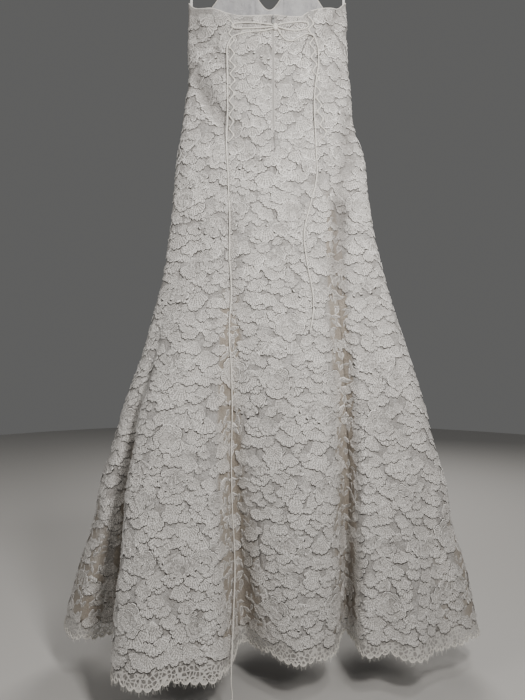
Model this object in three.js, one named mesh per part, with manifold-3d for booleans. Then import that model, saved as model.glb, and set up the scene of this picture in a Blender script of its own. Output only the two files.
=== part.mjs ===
// A strapless wedding gown of corded lace over satin, hanging by its ribbon loops from a plain hanger.
// Millimetres. +Z is up, -Y is the back of the gown, +X is the right-hand side seen from the back.
// The origin is the inside of the hanger hook's top, and heights are measured up from the hem's tips.

import * as THREE from 'three';
import { mergeVertices } from 'three/addons/utils/BufferGeometryUtils.js';
import Module from 'manifold-3d';

// Driving dimensions
const hangHeight = 1590; // the hook's inside apex above the hem's tips
const wall = 2; // lace, net and satin together
const borderWall = 1.4; // lace alone, below the satin
const seamGap = 0.3;
const clear = 0.4; // under a strip or cord that lies on the cloth
const borderHeight = 42; // how far the lace hangs below the satin
const cordSize = 2.4; // satin cord of the lacing, the bow and the tails
const cordSides = 8;
const weld = 1e-4; // corners closer than this are one

// The gown's outline: a row is a level section. left and right are the reach from the middle plane, back
// and front the depth of the plain body before its folds.
const sections = [
  { height: 0, left: 467, right: 465, back: 92, front: 120 },
  { height: 60, left: 450, right: 449, back: 90, front: 116 },
  { height: 150, left: 423, right: 430, back: 86, front: 110 },
  { height: 240, left: 392, right: 400, back: 82, front: 103 },
  { height: 330, left: 373, right: 386, back: 78, front: 96 },
  { height: 420, left: 343, right: 358, back: 74, front: 88 },
  { height: 510, left: 315, right: 336, back: 70, front: 80 },
  { height: 600, left: 281, right: 307, back: 66, front: 73 },
  { height: 688, left: 256, right: 278, back: 61, front: 66 },
  { height: 776, left: 233, right: 251, back: 57, front: 60 },
  { height: 864, left: 219, right: 229, back: 54, front: 56 },
  { height: 950, left: 210, right: 214, back: 51, front: 53 },
  { height: 1038, left: 201, right: 205, back: 47, front: 50 },
  { height: 1090, left: 192, right: 188, back: 44, front: 48 },
  { height: 1126, left: 187, right: 179, back: 42, front: 47 },
  { height: 1170, left: 182, right: 177, back: 41, front: 47 },
  { height: 1214, left: 176, right: 172, back: 40, front: 48 },
  { height: 1257, left: 177, right: 168, back: 40, front: 49 },
  { height: 1336, left: 177, right: 167, back: 40, front: 46 },
  { height: 1450, left: 179, right: 167, back: 38, front: 42 },
];

// The skirt's folds, once round from the left side seam over the back to the right side seam and home
// over the front. turn is the place on the bodice in degrees from the centre back, knee the reach at
// knee height, x and y the place at the hem, and start the height at which the fold begins.
const kneeHeight = 510;
const hipHeight = 930;
const aboveCloth = 1500; // a height over every edge of the cloth
const bodyRoundness = 0.4; // a smaller power makes the body flatter in the middle
const foldOnset = 1.3; // a larger power lets a fold open later on its way down
const folds = [
  { name: 'left side', turn: -90, knee: -315, x: -467, y: 40, start: 560 },
  { name: 'left outer ridge', turn: -83, knee: -303, x: -410, y: -36, start: 600 },
  { name: 'left outer flank', turn: -76, knee: -288, x: -350, y: -8, start: 600 },
  { name: 'left valley', turn: -69, knee: -275, x: -322, y: 14, start: 640 },
  { name: 'left panel wall', turn: -63, knee: -268, x: -312, y: -88, start: 700 },
  { name: 'left panel edge', turn: -57, knee: -258, x: -298, y: -178, start: 760 },
  { name: 'left panel crest', turn: -48, knee: -205, x: -236, y: -208, start: 820 },
  { name: 'left panel dip', turn: -40, knee: -157, x: -166, y: -187, start: 820 },
  { name: 'left panel ridge', turn: -32, knee: -118, x: -98, y: -178, start: 780 },
  { name: 'left panel flank', turn: -27, knee: -97, x: -74, y: -108, start: 760 },
  { name: 'centre valley', turn: -21, knee: -76, x: -54, y: -38, start: 820 },
  { name: 'centre panel flank', turn: -10, knee: -40, x: -2, y: -90, start: 820 },
  { name: 'centre panel crest', turn: 7, knee: 38, x: 60, y: -128, start: 800 },
  { name: 'centre panel ridge', turn: 27, knee: 118, x: 130, y: -88, start: 780 },
  { name: 'right valley', turn: 37, knee: 158, x: 166, y: 6, start: 900 },
  { name: 'right panel edge', turn: 44, knee: 186, x: 188, y: -92, start: 860 },
  { name: 'right panel dip', turn: 52, knee: 216, x: 238, y: -94, start: 700 },
  { name: 'right panel crest', turn: 60, knee: 248, x: 296, y: -114, start: 760 },
  { name: 'right panel flank', turn: 70, knee: 284, x: 366, y: -64, start: 620 },
  { name: 'right outer ridge', turn: 80, knee: 314, x: 426, y: -40, start: 560 },
  { name: 'right side', turn: 90, knee: 336, x: 465, y: 16, start: 560 },
  { name: 'front right ridge', turn: 101, knee: 316, x: 425, y: 98, start: 620 },
  { name: 'front right valley', turn: 112, knee: 280, x: 346, y: 70, start: 700 },
  { name: 'front right edge', turn: 124, knee: 232, x: 286, y: 142, start: 760 },
  { name: 'front right crest', turn: 136, knee: 172, x: 214, y: 158, start: 780 },
  { name: 'front middle valley', turn: 148, knee: 116, x: 140, y: 84, start: 820 },
  { name: 'front middle edge', turn: 162, knee: 60, x: 74, y: 146, start: 820 },
  { name: 'front middle crest', turn: 176, knee: 6, x: -10, y: 164, start: 800 },
  { name: 'front left valley', turn: 190, knee: -56, x: -88, y: 92, start: 820 },
  { name: 'front left edge', turn: 204, knee: -118, x: -158, y: 154, start: 780 },
  { name: 'front left crest', turn: 218, knee: -176, x: -236, y: 148, start: 760 },
  { name: 'front left flank', turn: 232, knee: -226, x: -306, y: 84, start: 700 },
  { name: 'front outer ridge', turn: 246, knee: -268, x: -376, y: 124, start: 620 },
  { name: 'front outer flank', turn: 259, knee: -300, x: -440, y: 94, start: 560 },
];

// Pull folds in the bodice, where its weight hangs from the two side corners. A row runs from (x, height)
// to (toX, toHeight) on the back or the front, width is its half-width and depth how far it sinks.
const pullFolds = [
  { back: true, x: -172, height: 1372, toX: -100, toHeight: 1300, width: 13, depth: 9 },
  { back: true, x: -172, height: 1322, toX: -102, toHeight: 1232, width: 14, depth: 8 },
  { back: true, x: -172, height: 1226, toX: -48, toHeight: 1038, width: 17, depth: 11 },
  { back: true, x: 163, height: 1378, toX: 106, toHeight: 1280, width: 9, depth: 10 },
  { back: true, x: 160, height: 1222, toX: 126, toHeight: 1160, width: 15, depth: 7 },
  { back: true, x: 172, height: 1116, toX: 150, toHeight: 900, width: 16, depth: 12 },
  { back: true, x: 152, height: 930, toX: 144, toHeight: 740, width: 18, depth: 16 },
  { back: true, x: -84, height: 900, toX: -82, toHeight: 700, width: 16, depth: 6 },
  { back: false, x: -168, height: 1366, toX: -116, toHeight: 1250, width: 14, depth: 8 },
  { back: false, x: 158, height: 1370, toX: 112, toHeight: 1262, width: 13, depth: 9 },
  { back: false, x: -150, height: 1180, toX: -60, toHeight: 1040, width: 17, depth: 9 },
  { back: false, x: 150, height: 1200, toX: 70, toHeight: 1050, width: 16, depth: 8 },
];

// The top edge, by the same turn from the centre back: the back is cut straight, its side corners are
// drawn up by the ribbons, and the front rises over the two cups with a dip between them.
const topEdge = [
  { turn: -90, height: 1381 },
  { turn: -74, height: 1367 },
  { turn: -54, height: 1357 },
  { turn: -42, height: 1351 },
  { turn: -30, height: 1338 },
  { turn: -18, height: 1331 },
  { turn: 3, height: 1332 },
  { turn: 22, height: 1330 },
  { turn: 31, height: 1344 },
  { turn: 44, height: 1352 },
  { turn: 60, height: 1358 },
  { turn: 90, height: 1381 },
  { turn: 105, height: 1372 },
  { turn: 125, height: 1378 },
  { turn: 143, height: 1430 },
  { turn: 154, height: 1452 },
  { turn: 166, height: 1440 },
  { turn: 180, height: 1394 },
  { turn: 194, height: 1440 },
  { turn: 206, height: 1452 },
  { turn: 217, height: 1430 },
  { turn: 235, height: 1378 },
  { turn: 255, height: 1372 },
  { turn: 270, height: 1381 },
];

// The two cups push the front out.
const cupBulge = { x: 82, height: 1372, across: 46, up: 52, out: 40 };

// Seams run down between the panels. top and waist are the places on the bodice, in the same turn, and
// fold is the number of the fold row that the seam has reached at the hem.
const seams = [
  { top: -90, waist: -90, fold: 0 },
  { top: -27, waist: -24.2, fold: 7 },
  { top: 2.7, waist: 2.7, fold: 11 },
  { top: 30, waist: 36, fold: 14.2 },
  { top: 90, waist: 90, fold: 20 },
  { top: 118, waist: 118.9, fold: 22.5 },
  { top: 148, waist: 150, fold: 25 },
  { top: 212, waist: 210, fold: 29.6 },
  { top: 243, waist: 242, fold: 33 },
  { top: 270, waist: 270, fold: 34 },
];
const [leftLacing, zipSeam, rightLacing, rightSideSeam] = [1, 2, 3, 4]; // seams' numbers
const panels = [
  { name: 'back_side_left', columns: 14 },
  { name: 'back_centre_left', columns: 14 },
  { name: 'back_centre_right', columns: 12 },
  { name: 'back_side_right', columns: 16 },
  { name: 'front_side_right', columns: 6 },
  { name: 'front_right', columns: 6 },
  { name: 'front_centre', columns: 15 },
  { name: 'front_left', columns: 7 },
  { name: 'front_side_left', columns: 4 },
];
const waistHeight = 1090;
const bodiceTop = 1300; // from here up a seam stays at its top place
const rightSideFold = 20; // the fold row of the right side seam
const seamTurnsBelow = 1060; // above this a seam keeps its place on the bodice
const seamSettled = 200; // below this it has reached its fold
const rowShares = [
  0, 0.07, 0.15, 0.23, 0.31, 0.39, 0.47, 0.55, 0.63, 0.7, 0.745, 0.785, 0.815, 0.845, 0.875, 0.905, 0.935,
  0.965, 1,
];

// The padded cups inside the front, in the same columns and rows as the panels that carry them.
const cups = [
  { name: 'cup_right', from: { panel: 5, column: 2 }, to: { panel: 6, column: 5 } },
  { name: 'cup_left', from: { panel: 6, column: 10 }, to: { panel: 7, column: 5 } },
];
const cupFoam = 3;
const cupFromRow = 0.905;

// The lacing at the two back seams beside the centre. A share is a part of one column of the panels.
const lacing = { fromRow: 0.785, lowRow: 0.79, highRow: 0.99, turns: 9, share: 0.32, sides: 6 };
const placket = { share: 0.42, thick: 0.8 };

// The concealed zip at the centre back, its slider and the pull tab that hangs from the slider
const zipStrip = { fromRow: 0.815, share: 0.22, thick: 0.8 };
const slider = { row: 0.9935, width: 5, length: 10, thick: 1.5 };
const bridge = { width: 1.6, length: 6.8, out: 5, holeLength: 4.4, holeOut: 3.8, floor: 0.2, sunkIn: 0.5 };
const tab = {
  width: 5.2, thick: 1, length: 12.5, holeWidth: 2.6, holeLength: 4, bar: 0.5,
  shoulder: 0.8, // the top's width as a share of the whole
  straight: 0.45, // the sides are straight for this share of the length
  belly: 1.1, // then curve in from this share of the width
};

// The cords' routes, by hand: x, height above the hem's tips, y
const knot = { x: 11, height: 1304, y: -45.4, width: 11, tall: 14, deep: 7.6 };
const cordRoutes = [
  {
    name: 'bow_loop_left',
    steps: 24,
    route: [
      [5.9, 1308, -45], [-14, 1311, -44.2], [-42, 1314, -43], [-64, 1314, -42], [-78, 1311, -42],
      [-81, 1306.5, -42], [-75, 1303, -42], [-56, 1302.5, -42.2], [-28, 1302.5, -43.4], [5.1, 1304, -45],
    ],
  },
  {
    name: 'bow_loop_right',
    steps: 24,
    route: [
      [16.1, 1308, -45], [32, 1312, -44], [52, 1315, -42.6], [72, 1316, -41.8], [81, 1313, -41.8],
      [80, 1306, -41.8], [68, 1300, -41.8], [50, 1298, -42.6], [32, 1300, -43.8], [16.9, 1304, -45],
    ],
  },
  {
    name: 'tail_left',
    steps: 56,
    route: [
      [5.9, 1300, -45], [-18, 1296, -43.4], [-42, 1295, -42.4], [-64, 1291, -41.8], [-80, 1283, -43.4],
      [-90, 1266, -42], [-91, 1239, -39.6], [-90.5, 1196, -38.8], [-90, 1153, -39.4], [-90.5, 1105, -41],
      [-92.5, 1060, -43.6], [-89, 1001, -47.6], [-87, 946, -49.8], [-85, 904, -48.8], [-85, 860, -49.6],
      [-85, 813, -51.2], [-82, 773, -53.4], [-82, 720, -54.8], [-85, 686, -57.6], [-85, 638, -60],
      [-82, 605, -60.4], [-80, 560, -60], [-79, 486, -60], [-80, 442, -59.6], [-81, 394, -60.6],
      [-79, 296, -61.6], [-75, 226, -63], [-72.5, 168, -72], [-73.5, 112, -94], [-75, 46, -122],
      [-76, 10, -139], [-76, -20, -147], [-74, -44, -148], [-75, -76, -148],
    ],
  },
  {
    name: 'tail_right',
    steps: 36,
    route: [
      [16.1, 1300, -45], [24, 1287, -43.8], [33, 1278, -43], [47, 1275.5, -42.4], [64, 1284, -41.8],
      [80, 1291, -42.6], [92, 1287, -41.6], [100, 1272, -38.6], [103, 1252, -37], [103, 1230, -37.2],
      [99, 1203, -41], [94, 1160, -42.6], [94, 1120, -43], [96, 1085, -43.6], [97, 1049, -45],
      [99, 997, -47.6], [95, 967, -49.4], [86, 933, -51.4], [75, 890, -53.8], [71, 863, -55],
      [77, 806, -57.2], [89, 739, -60.2], [90, 705, -62.4], [83, 659, -66.8],
    ],
  },
];

// The hanger: a curved bar with a notch near each end for the ribbon loops, and a wire hook
const bar = {
  centre: 1500, drop: 62, halfLength: 212, halfThick: 6, halfTall: 13, endTall: 10,
  stations: 32,
  sides: 8,
  squareness: 0.7, // a smaller power makes its section squarer
  endPower: 24, // a larger power rounds less of its ends
  endFloor: 0.08, // the smallest square of the end's size
};
const notch = { x: 168, halfLength: 17, deep: 4, edge: 5 };
const hook = {
  wire: 2, bend: 20, stemLow: 12, stemTop: 1546, fromTurn: -58, toTurn: 206, turnStep: 22,
  steps: 26,
};
const ribbon = {
  width: 5, thick: 1.2, low: 1352, join: 1386, spread: 1434,
  sewnAt: 10, // up from its low end, where it meets the seam
  curl: 7, // its two legs are straight to this far below the top
  forkLow: 3, // up from the join, where the loop begins to open
  forkHigh: 6,
  forkHalf: 0.4,
};

const materials = {
  lace: new THREE.MeshStandardMaterial({ color: 0xd9d3cc, roughness: 0.8 }),
  satin: new THREE.MeshStandardMaterial({ color: 0xe6e5e6, roughness: 0.35 }),
  cord: new THREE.MeshStandardMaterial({ color: 0xeee9df, roughness: 0.4 }),
  zip: new THREE.MeshStandardMaterial({ color: 0xe4dfd8, roughness: 0.6 }),
  metal: new THREE.MeshStandardMaterial({ color: 0xb9bbbd, roughness: 0.3, metalness: 1 }),
  wood: new THREE.MeshStandardMaterial({ color: 0xc9a77b, roughness: 0.5 }),
};

// The slope of a table's column at one row, from its neighbours.
function rowSlope(rows, i, at, key) {
  const a = rows[Math.max(i - 1, 0)];
  const b = rows[Math.min(i + 1, rows.length - 1)];
  return (b[key] - a[key]) / (b[at] - a[at]);
}

// A smooth curve through a table's column.
function smooth(rows, at, value, key) {
  const v = Math.min(Math.max(value, rows[0][at]), rows[rows.length - 1][at]);
  let i = 0;
  while (i < rows.length - 2 && v > rows[i + 1][at]) i += 1;
  const step = rows[i + 1][at] - rows[i][at];
  const s = (v - rows[i][at]) / step;
  const from = rowSlope(rows, i, at, key) * step;
  const to = rowSlope(rows, i + 1, at, key) * step;
  const rise = rows[i + 1][key] - rows[i][key];
  return rows[i][key] + s * (from + s * (3 * rise - 2 * from - to + s * (from + to - 2 * rise)));
}

// The fold number, with a fraction, of a turn on the bodice.
function foldOfTurn(turn) {
  const all = [...folds, { turn: 270 }];
  let i = 0;
  while (i < all.length - 2 && turn > all[i + 1].turn) i += 1;
  return i + (turn - all[i].turn) / (all[i + 1].turn - all[i].turn);
}

// The turn on the bodice of a fold number.
function turnOfFold(number) {
  const i = Math.min(Math.floor(number), folds.length - 1);
  const next = i + 1 < folds.length ? folds[i + 1].turn : 270;
  return folds[i].turn + (number - i) * (next - folds[i].turn);
}

// The plain body's depth at a share of its reach: round at the sides and flatter in the middle.
function bodyDepth(share, reach) {
  return reach * Math.pow(Math.max(1 - share * share, 0), bodyRoundness);
}

// One fold's line: where it stands on the level section at a height.
function foldPoint(fold, height) {
  const radians = THREE.MathUtils.degToRad(fold.turn);
  const bodice = Math.sin(radians);
  const back = Math.cos(radians) > 0;
  const side = bodice < 0 ? 'left' : 'right';
  const hemReach = sections[0][fold.x < 0 ? 'left' : 'right'];
  const kneeReach = smooth(sections, 'height', kneeHeight, fold.knee < 0 ? 'left' : 'right');
  const shares = [
    { height: 0, share: fold.x / hemReach },
    { height: kneeHeight, share: fold.knee / kneeReach },
    { height: hipHeight, share: bodice },
    { height: aboveCloth, share: bodice },
  ];
  const share = Math.min(Math.max(smooth(shares, 'height', height, 'share'), -1), 1);
  const reach = smooth(sections, 'height', height, side);
  const depthKey = back ? 'back' : 'front';
  const sign = back ? -1 : 1;
  const depth = bodyDepth(share, smooth(sections, 'height', height, depthKey));
  const hemDepth = bodyDepth(fold.x / hemReach, sections[0][depthKey]);
  const grown = Math.pow(Math.max(1 - height / fold.start, 0), foldOnset);
  return {
    x: share * reach,
    y: sign * depth + grown * (fold.y - sign * hemDepth),
  };
}

// A level section's point between the folds, by a closed cubic through the fold lines.
const foldCache = new Map();
function foldLine(i, height) {
  const wrapped = (i + folds.length) % folds.length;
  const key = `${wrapped} ${height}`;
  if (!foldCache.has(key)) foldCache.set(key, foldPoint(folds[wrapped], height));
  return foldCache.get(key);
}

function sectionPoint(number, height) {
  const i = Math.floor(number);
  const s = number - i;
  const around = [-1, 0, 1, 2].map((k) => foldLine(i + k, height));
  const weights = [
    (-s + 2 * s * s - s * s * s) / 2,
    (2 - 5 * s * s + 3 * s * s * s) / 2,
    (s + 4 * s * s - 3 * s * s * s) / 2,
    (-s * s + s * s * s) / 2,
  ];
  const x = around.reduce((sum, p, k) => sum + p.x * weights[k], 0);
  const y = around.reduce((sum, p, k) => sum + p.y * weights[k], 0);
  return { x, y };
}

// How far a pull fold sinks the cloth at a place.
function sunk(x, height, back) {
  let sum = 0;
  for (const f of pullFolds) {
    if (f.back !== back) continue;
    const dx = f.toX - f.x;
    const dh = f.toHeight - f.height;
    const length2 = dx * dx + dh * dh;
    const along = THREE.MathUtils.clamp(((x - f.x) * dx + (height - f.height) * dh) / length2, 0, 1);
    const away = Math.hypot(x - f.x - along * dx, height - f.height - along * dh) / f.width;
    sum += f.depth * Math.exp(-away * away) * (1 - 0.5 * along);
  }
  return sum;
}

// A point of the gown's outer face, the way out of it and the length of one fold number there.
function clothPoint(number, height) {
  const p = sectionPoint(number, height);
  const step = 0.02;
  const before = sectionPoint(number - step, height);
  const after = sectionPoint(number + step, height);
  const out = new THREE.Vector2(after.y - before.y, before.x - after.x).normalize();
  const back = out.y < 0;
  const move = -sunk(p.x, height, back) * Math.abs(out.y);
  if (!back) {
    const across = (Math.abs(p.x) - cupBulge.x) / cupBulge.across;
    const up = (height - cupBulge.height) / cupBulge.up;
    p.y += cupBulge.out * Math.exp(-across * across - up * up) * out.y;
  }
  const perNumber = Math.hypot(after.x - before.x, after.y - before.y) / (2 * step);
  return { x: p.x + out.x * move, y: p.y + out.y * move, out, perNumber };
}

// Moves a fold number sideways along the cloth by a small distance.
function slide(number, height, distance) {
  return number + distance / clothPoint(number, height).perNumber;
}

// A seam's fold number at a height.
function seamNumber(index, height) {
  const seam = seams[index];
  const up = THREE.MathUtils.clamp(height, waistHeight, bodiceTop);
  const turn = THREE.MathUtils.mapLinear(up, waistHeight, bodiceTop, seam.waist, seam.top);
  const share = THREE.MathUtils.smoothstep(height, seamSettled, seamTurnsBelow);
  return seam.fold + (foldOfTurn(turn) - seam.fold) * share;
}

// A column is a panel number with a fraction across it.
function columnNumber(column, height) {
  const panel = Math.min(Math.floor(column), panels.length - 1);
  const share = column - panel;
  const from = seamNumber(panel, height);
  return from + (seamNumber(panel + 1, height) - from) * share;
}

// The top edge's height at a column.
function topHeight(column) {
  const number = columnNumber(column, bodiceTop);
  return smooth(topEdge, 'turn', turnOfFold(number), 'height');
}

// A row is a share of the cloth's height, from the satin's hem to the top edge.
function heightAt(column, row) {
  return borderHeight + (topHeight(column) - borderHeight) * row;
}

// A point at some distance under the outer face, or over it where inset is negative.
function insetPoint(column, height, inset, sideways = 0) {
  let number = columnNumber(column, height);
  if (sideways) number = slide(number, height, sideways);
  const p = clothPoint(number, height);
  return new THREE.Vector3(p.x - p.out.x * inset, p.y - p.out.y * inset, height - hangHeight);
}

// A point beside a seam on the flat facets of its two panels, so that what lies there follows them
// exactly. share is the part of the next column to the right, or to the left where it is negative. A
// facet's diagonal runs from its lower left corner to its upper right one.
function facetPoint(seam, share, row, inset) {
  const left = share < 0;
  const u = Math.abs(share);
  const beside = left ? seam - 1 / panels[seam - 1].columns : seam + 1 / panels[seam].columns;
  let k = 0;
  while (k < rowShares.length - 2 && row > rowShares[k + 1]) k += 1;
  const v = (row - rowShares[k]) / (rowShares[k + 1] - rowShares[k]);
  const corner = (column, j) => insetPoint(column, heightAt(column, rowShares[j]), inset);
  const low = corner(seam, k);
  const high = corner(seam, k + 1);
  const farLow = corner(beside, k);
  const farHigh = corner(beside, k + 1);
  const from = (origin, one, s, two, t) => origin.clone()
    .addScaledVector(one.clone().sub(origin), s)
    .addScaledVector(two.clone().sub(origin), t);
  if (left) {
    return v <= 1 - u ? from(low, farLow, u, high, v) : from(farHigh, high, 1 - u, farLow, 1 - v);
  }
  return v >= u ? from(high, farHigh, u, low, 1 - v) : from(farLow, low, 1 - u, farHigh, v);
}

// A closed body from its corner points and faces.
function body(points, faces) {
  const geometry = new THREE.BufferGeometry();
  const numbers = points.flatMap((p) => [p.x, p.y, p.z]);
  geometry.setAttribute('position', new THREE.Float32BufferAttribute(numbers, 3));
  geometry.setIndex(faces.flat());
  return mergeVertices(geometry, weld);
}

// A wall between two grids of points, closed along its four edges. Both grids run row by row upward and
// around the gown, outer first.
function wallBody(outer, inner) {
  const rows = outer.length;
  const columns = outer[0].length;
  const points = [...outer.flat(), ...inner.flat()];
  const at = (layer, j, i) => layer * rows * columns + j * columns + i;
  const faces = [];
  const quad = (a, b, c, d) => faces.push([a, b, c], [a, c, d]);
  for (let j = 0; j < rows - 1; j += 1) {
    for (let i = 0; i < columns - 1; i += 1) {
      quad(at(0, j, i), at(0, j, i + 1), at(0, j + 1, i + 1), at(0, j + 1, i));
      quad(at(1, j, i), at(1, j + 1, i), at(1, j + 1, i + 1), at(1, j, i + 1));
    }
  }
  for (let i = 0; i < columns - 1; i += 1) {
    quad(at(0, 0, i), at(1, 0, i), at(1, 0, i + 1), at(0, 0, i + 1));
    quad(at(0, rows - 1, i), at(0, rows - 1, i + 1), at(1, rows - 1, i + 1), at(1, rows - 1, i));
  }
  const last = columns - 1;
  for (let j = 0; j < rows - 1; j += 1) {
    quad(at(0, j, 0), at(0, j + 1, 0), at(1, j + 1, 0), at(1, j, 0));
    quad(at(0, j, last), at(1, j, last), at(1, j + 1, last), at(0, j + 1, last));
  }
  return body(points, faces);
}

const group = new THREE.Group();

// Adds a named body to the gown.
function add(name, geometry, material) {
  const mesh = new THREE.Mesh(geometry, material);
  mesh.name = name;
  group.add(mesh);
  return mesh;
}

// The grid of a stretch of the gown, between two columns' lists and rows.
function clothGrid(columns, rows, inset, trim = () => 0) {
  return rows.map((row) => columns.map((column, i) => {
    const height = heightAt(column, row) + (row === 0 ? seamGap / 2 : 0);
    return insetPoint(column, height, inset, trim(i));
  }));
}

// The nine cut panels, a seam's gap apart.
function buildPanels() {
  panels.forEach((panel, index) => {
    const columns = Array.from({ length: panel.columns + 1 }, (_, i) => index + i / panel.columns);
    const last = panel.columns;
    const trim = (i) => (i === 0 ? seamGap / 2 : 0) - (i === last ? seamGap / 2 : 0);
    const outer = clothGrid(columns, rowShares, 0, trim);
    const inner = clothGrid(columns, rowShares, wall, trim);
    add(`panel_${panel.name}`, wallBody(outer, inner), materials.lace);
  });
}

// The lace below the satin: a strip with a scalloped lower edge and one cut gap over each pair of
// scallops. A cell is two scallops wide. Shares run across the cell, heights up from the hem's tips.
const cellWidth = 34;
const scallopRise = 6;
const notchRise = 9; // how far the larger waves of the edge rise between them
const cellsPerWave = 3;
const trackHeight = 20; // where the border's length is measured
const trackSteps = 900;
const scallopEdge = [
  { share: 0, up: 1 },
  { share: 0.13, up: 0 },
  { share: 0.37, up: 0 },
  { share: 0.5, up: 1 },
  { share: 0.63, up: 0 },
  { share: 0.87, up: 0 },
];
const gapCorners = [
  { share: 0.28, height: 25 },
  { share: 0.5, height: 18 },
  { share: 0.72, height: 25 },
  { share: 0.5, height: 33 },
];
const cellFaces = [
  [8, 0, 9], [0, 1, 9], [1, 2, 9], [2, 10, 9], [2, 3, 10], [3, 4, 10], [4, 11, 10], [4, 5, 11],
  [5, 6, 11], [6, 7, 11], [7, 12, 11], [8, 9, 12], [7, 8, 12],
];

// Builds the border between two folds: corners are numbered round a cell from its lower left, then the
// two at its top, then the gap's four.
function buildBorder(name, fromFold, toFold) {
  const track = [{ number: fromFold, along: 0 }];
  let before = sectionPoint(fromFold, trackHeight);
  for (let i = 1; i <= trackSteps; i += 1) {
    const number = fromFold + ((toFold - fromFold) * i) / trackSteps;
    const p = sectionPoint(number, trackHeight);
    track.push({ number, along: track[i - 1].along + Math.hypot(p.x - before.x, p.y - before.y) });
    before = p;
  }
  const length = track[trackSteps].along;
  const cells = Math.round(length / cellWidth);
  const numberAt = (along) => {
    let i = 0;
    while (i < trackSteps - 1 && along > track[i + 1].along) i += 1;
    const s = (along - track[i].along) / (track[i + 1].along - track[i].along);
    return track[i].number + s * (track[i + 1].number - track[i].number);
  };
  const place = (cell, share, height, inset) => {
    const along = ((cell + share) * length) / cells;
    const p = clothPoint(numberAt(THREE.MathUtils.clamp(along, seamGap / 2, length - seamGap / 2)), height);
    return new THREE.Vector3(p.x - p.out.x * inset, p.y - p.out.y * inset, height - hangHeight);
  };
  const lowHeight = (cell, corner) => {
    const wave = Math.sin((Math.PI * (cell + corner.share)) / cellsPerWave);
    return corner.up * scallopRise + notchRise * (1 - Math.abs(wave)) ** 2;
  };
  const top = borderHeight - seamGap / 2;
  const cellCorners = (cell, inset) => [
    ...[...scallopEdge, { share: 1, up: 1 }].map((c) => place(cell, c.share, lowHeight(cell, c), inset)),
    place(cell, 1, top, inset),
    place(cell, 0, top, inset),
    ...gapCorners.map((c) => place(cell, c.share, c.height, inset)),
  ];
  const points = [];
  const faces = [];
  for (let cell = 0; cell < cells; cell += 1) {
    const base = points.length;
    const outer = cellCorners(cell, (wall - borderWall) / 2);
    const inner = cellCorners(cell, (wall + borderWall) / 2);
    points.push(...outer, ...inner);
    const count = outer.length;
    for (const [a, b, c] of cellFaces) {
      faces.push([base + a, base + b, base + c], [base + count + a, base + count + c, base + count + b]);
    }
    const rim = (a, b) => {
      faces.push([base + b, base + a, base + count + a], [base + b, base + count + a, base + count + b]);
    };
    for (let k = 0; k < scallopEdge.length; k += 1) rim(k, k + 1);
    rim(7, 8);
    [[10, 9], [11, 10], [12, 11], [9, 12]].forEach(([a, b]) => rim(a, b));
    if (cell === 0) rim(8, 0);
    if (cell === cells - 1) rim(6, 7);
  }
  add(name, body(points, faces), materials.lace);
}

// Foam cups against the inside of the front panels.
function buildCups() {
  const rows = rowShares.filter((row) => row >= cupFromRow);
  for (const cup of cups) {
    const columns = [];
    for (let k = cup.from.column; k < panels[cup.from.panel].columns; k += 1) {
      columns.push(cup.from.panel + k / panels[cup.from.panel].columns);
    }
    for (let k = 0; k <= cup.to.column; k += 1) columns.push(cup.to.panel + k / panels[cup.to.panel].columns);
    const face = wall + seamGap;
    const outer = clothGrid(columns, rows, face);
    const inner = clothGrid(columns, rows, face + cupFoam);
    add(cup.name, wallBody(outer, inner), materials.satin);
  }
}

// A flat strip along a seam, just clear of the cloth, from one of the panels' rows to the top edge.
function buildStrip(name, seam, fromRow, size, material) {
  const rows = [];
  rowShares.slice(0, -1).forEach((row, k) => {
    if (row < fromRow) return;
    const rise = rowShares[k + 1] - row;
    rows.push(row, row + size.share * rise, row + (1 - size.share) * rise);
  });
  rows.push(1);
  const face = (out) => rows.map((row) => (
    [-size.share, 0, size.share].map((share) => facetPoint(seam, share, row, -out))
  ));
  add(name, wallBody(face(clear + size.thick), face(clear)), material);
}

// A round cord along a list of points.
function cordGeometry(points, steps, sides) {
  const section = new THREE.Shape();
  for (let k = 0; k <= sides; k += 1) {
    const turn = (2 * Math.PI * k) / sides;
    const [x, y] = [(cordSize / 2) * Math.cos(turn), (cordSize / 2) * Math.sin(turn)];
    if (k === 0) section.moveTo(x, y);
    else if (k < sides) section.lineTo(x, y);
  }
  const path = new THREE.CatmullRomCurve3(points, false, 'centripetal');
  return closed(new THREE.ExtrudeGeometry(section, { steps, extrudePath: path, bevelEnabled: false }));
}

// A geometry with its shared corners merged.
function closed(geometry) {
  geometry.deleteAttribute('normal');
  geometry.deleteAttribute('uv');
  return mergeVertices(geometry, weld);
}

// A satin placket under the lacing, and the lacing cord going to and fro across the seam.
function buildLacing(name, seam) {
  buildStrip(`${name}_placket`, seam, lacing.fromRow, placket, materials.satin);
  const out = clear + placket.thick + 2 * clear + cordSize / 2;
  const points = [];
  for (let k = 0; k <= 2 * lacing.turns; k += 1) {
    const row = lacing.lowRow + ((lacing.highRow - lacing.lowRow) * k) / (2 * lacing.turns);
    points.push(facetPoint(seam, k % 2 ? lacing.share : -lacing.share, row, -out));
  }
  add(`${name}_cord`, cordGeometry(points, 2 * (points.length - 1), lacing.sides), materials.cord);
}

// The bow's two loops, its knot and the two tails.
function buildCords() {
  for (const { name, steps, route } of cordRoutes) {
    const points = route.map(([x, height, y]) => new THREE.Vector3(x, y, height - hangHeight));
    add(name, cordGeometry(points, steps, cordSides), materials.cord);
  }
  const ball = closed(new THREE.SphereGeometry(1, 10, 7));
  ball.scale(knot.width / 2, knot.deep / 2, knot.tall / 2);
  const mesh = add('bow_knot', ball, materials.cord);
  mesh.position.set(knot.x, knot.y, knot.height - hangHeight);
}

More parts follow.
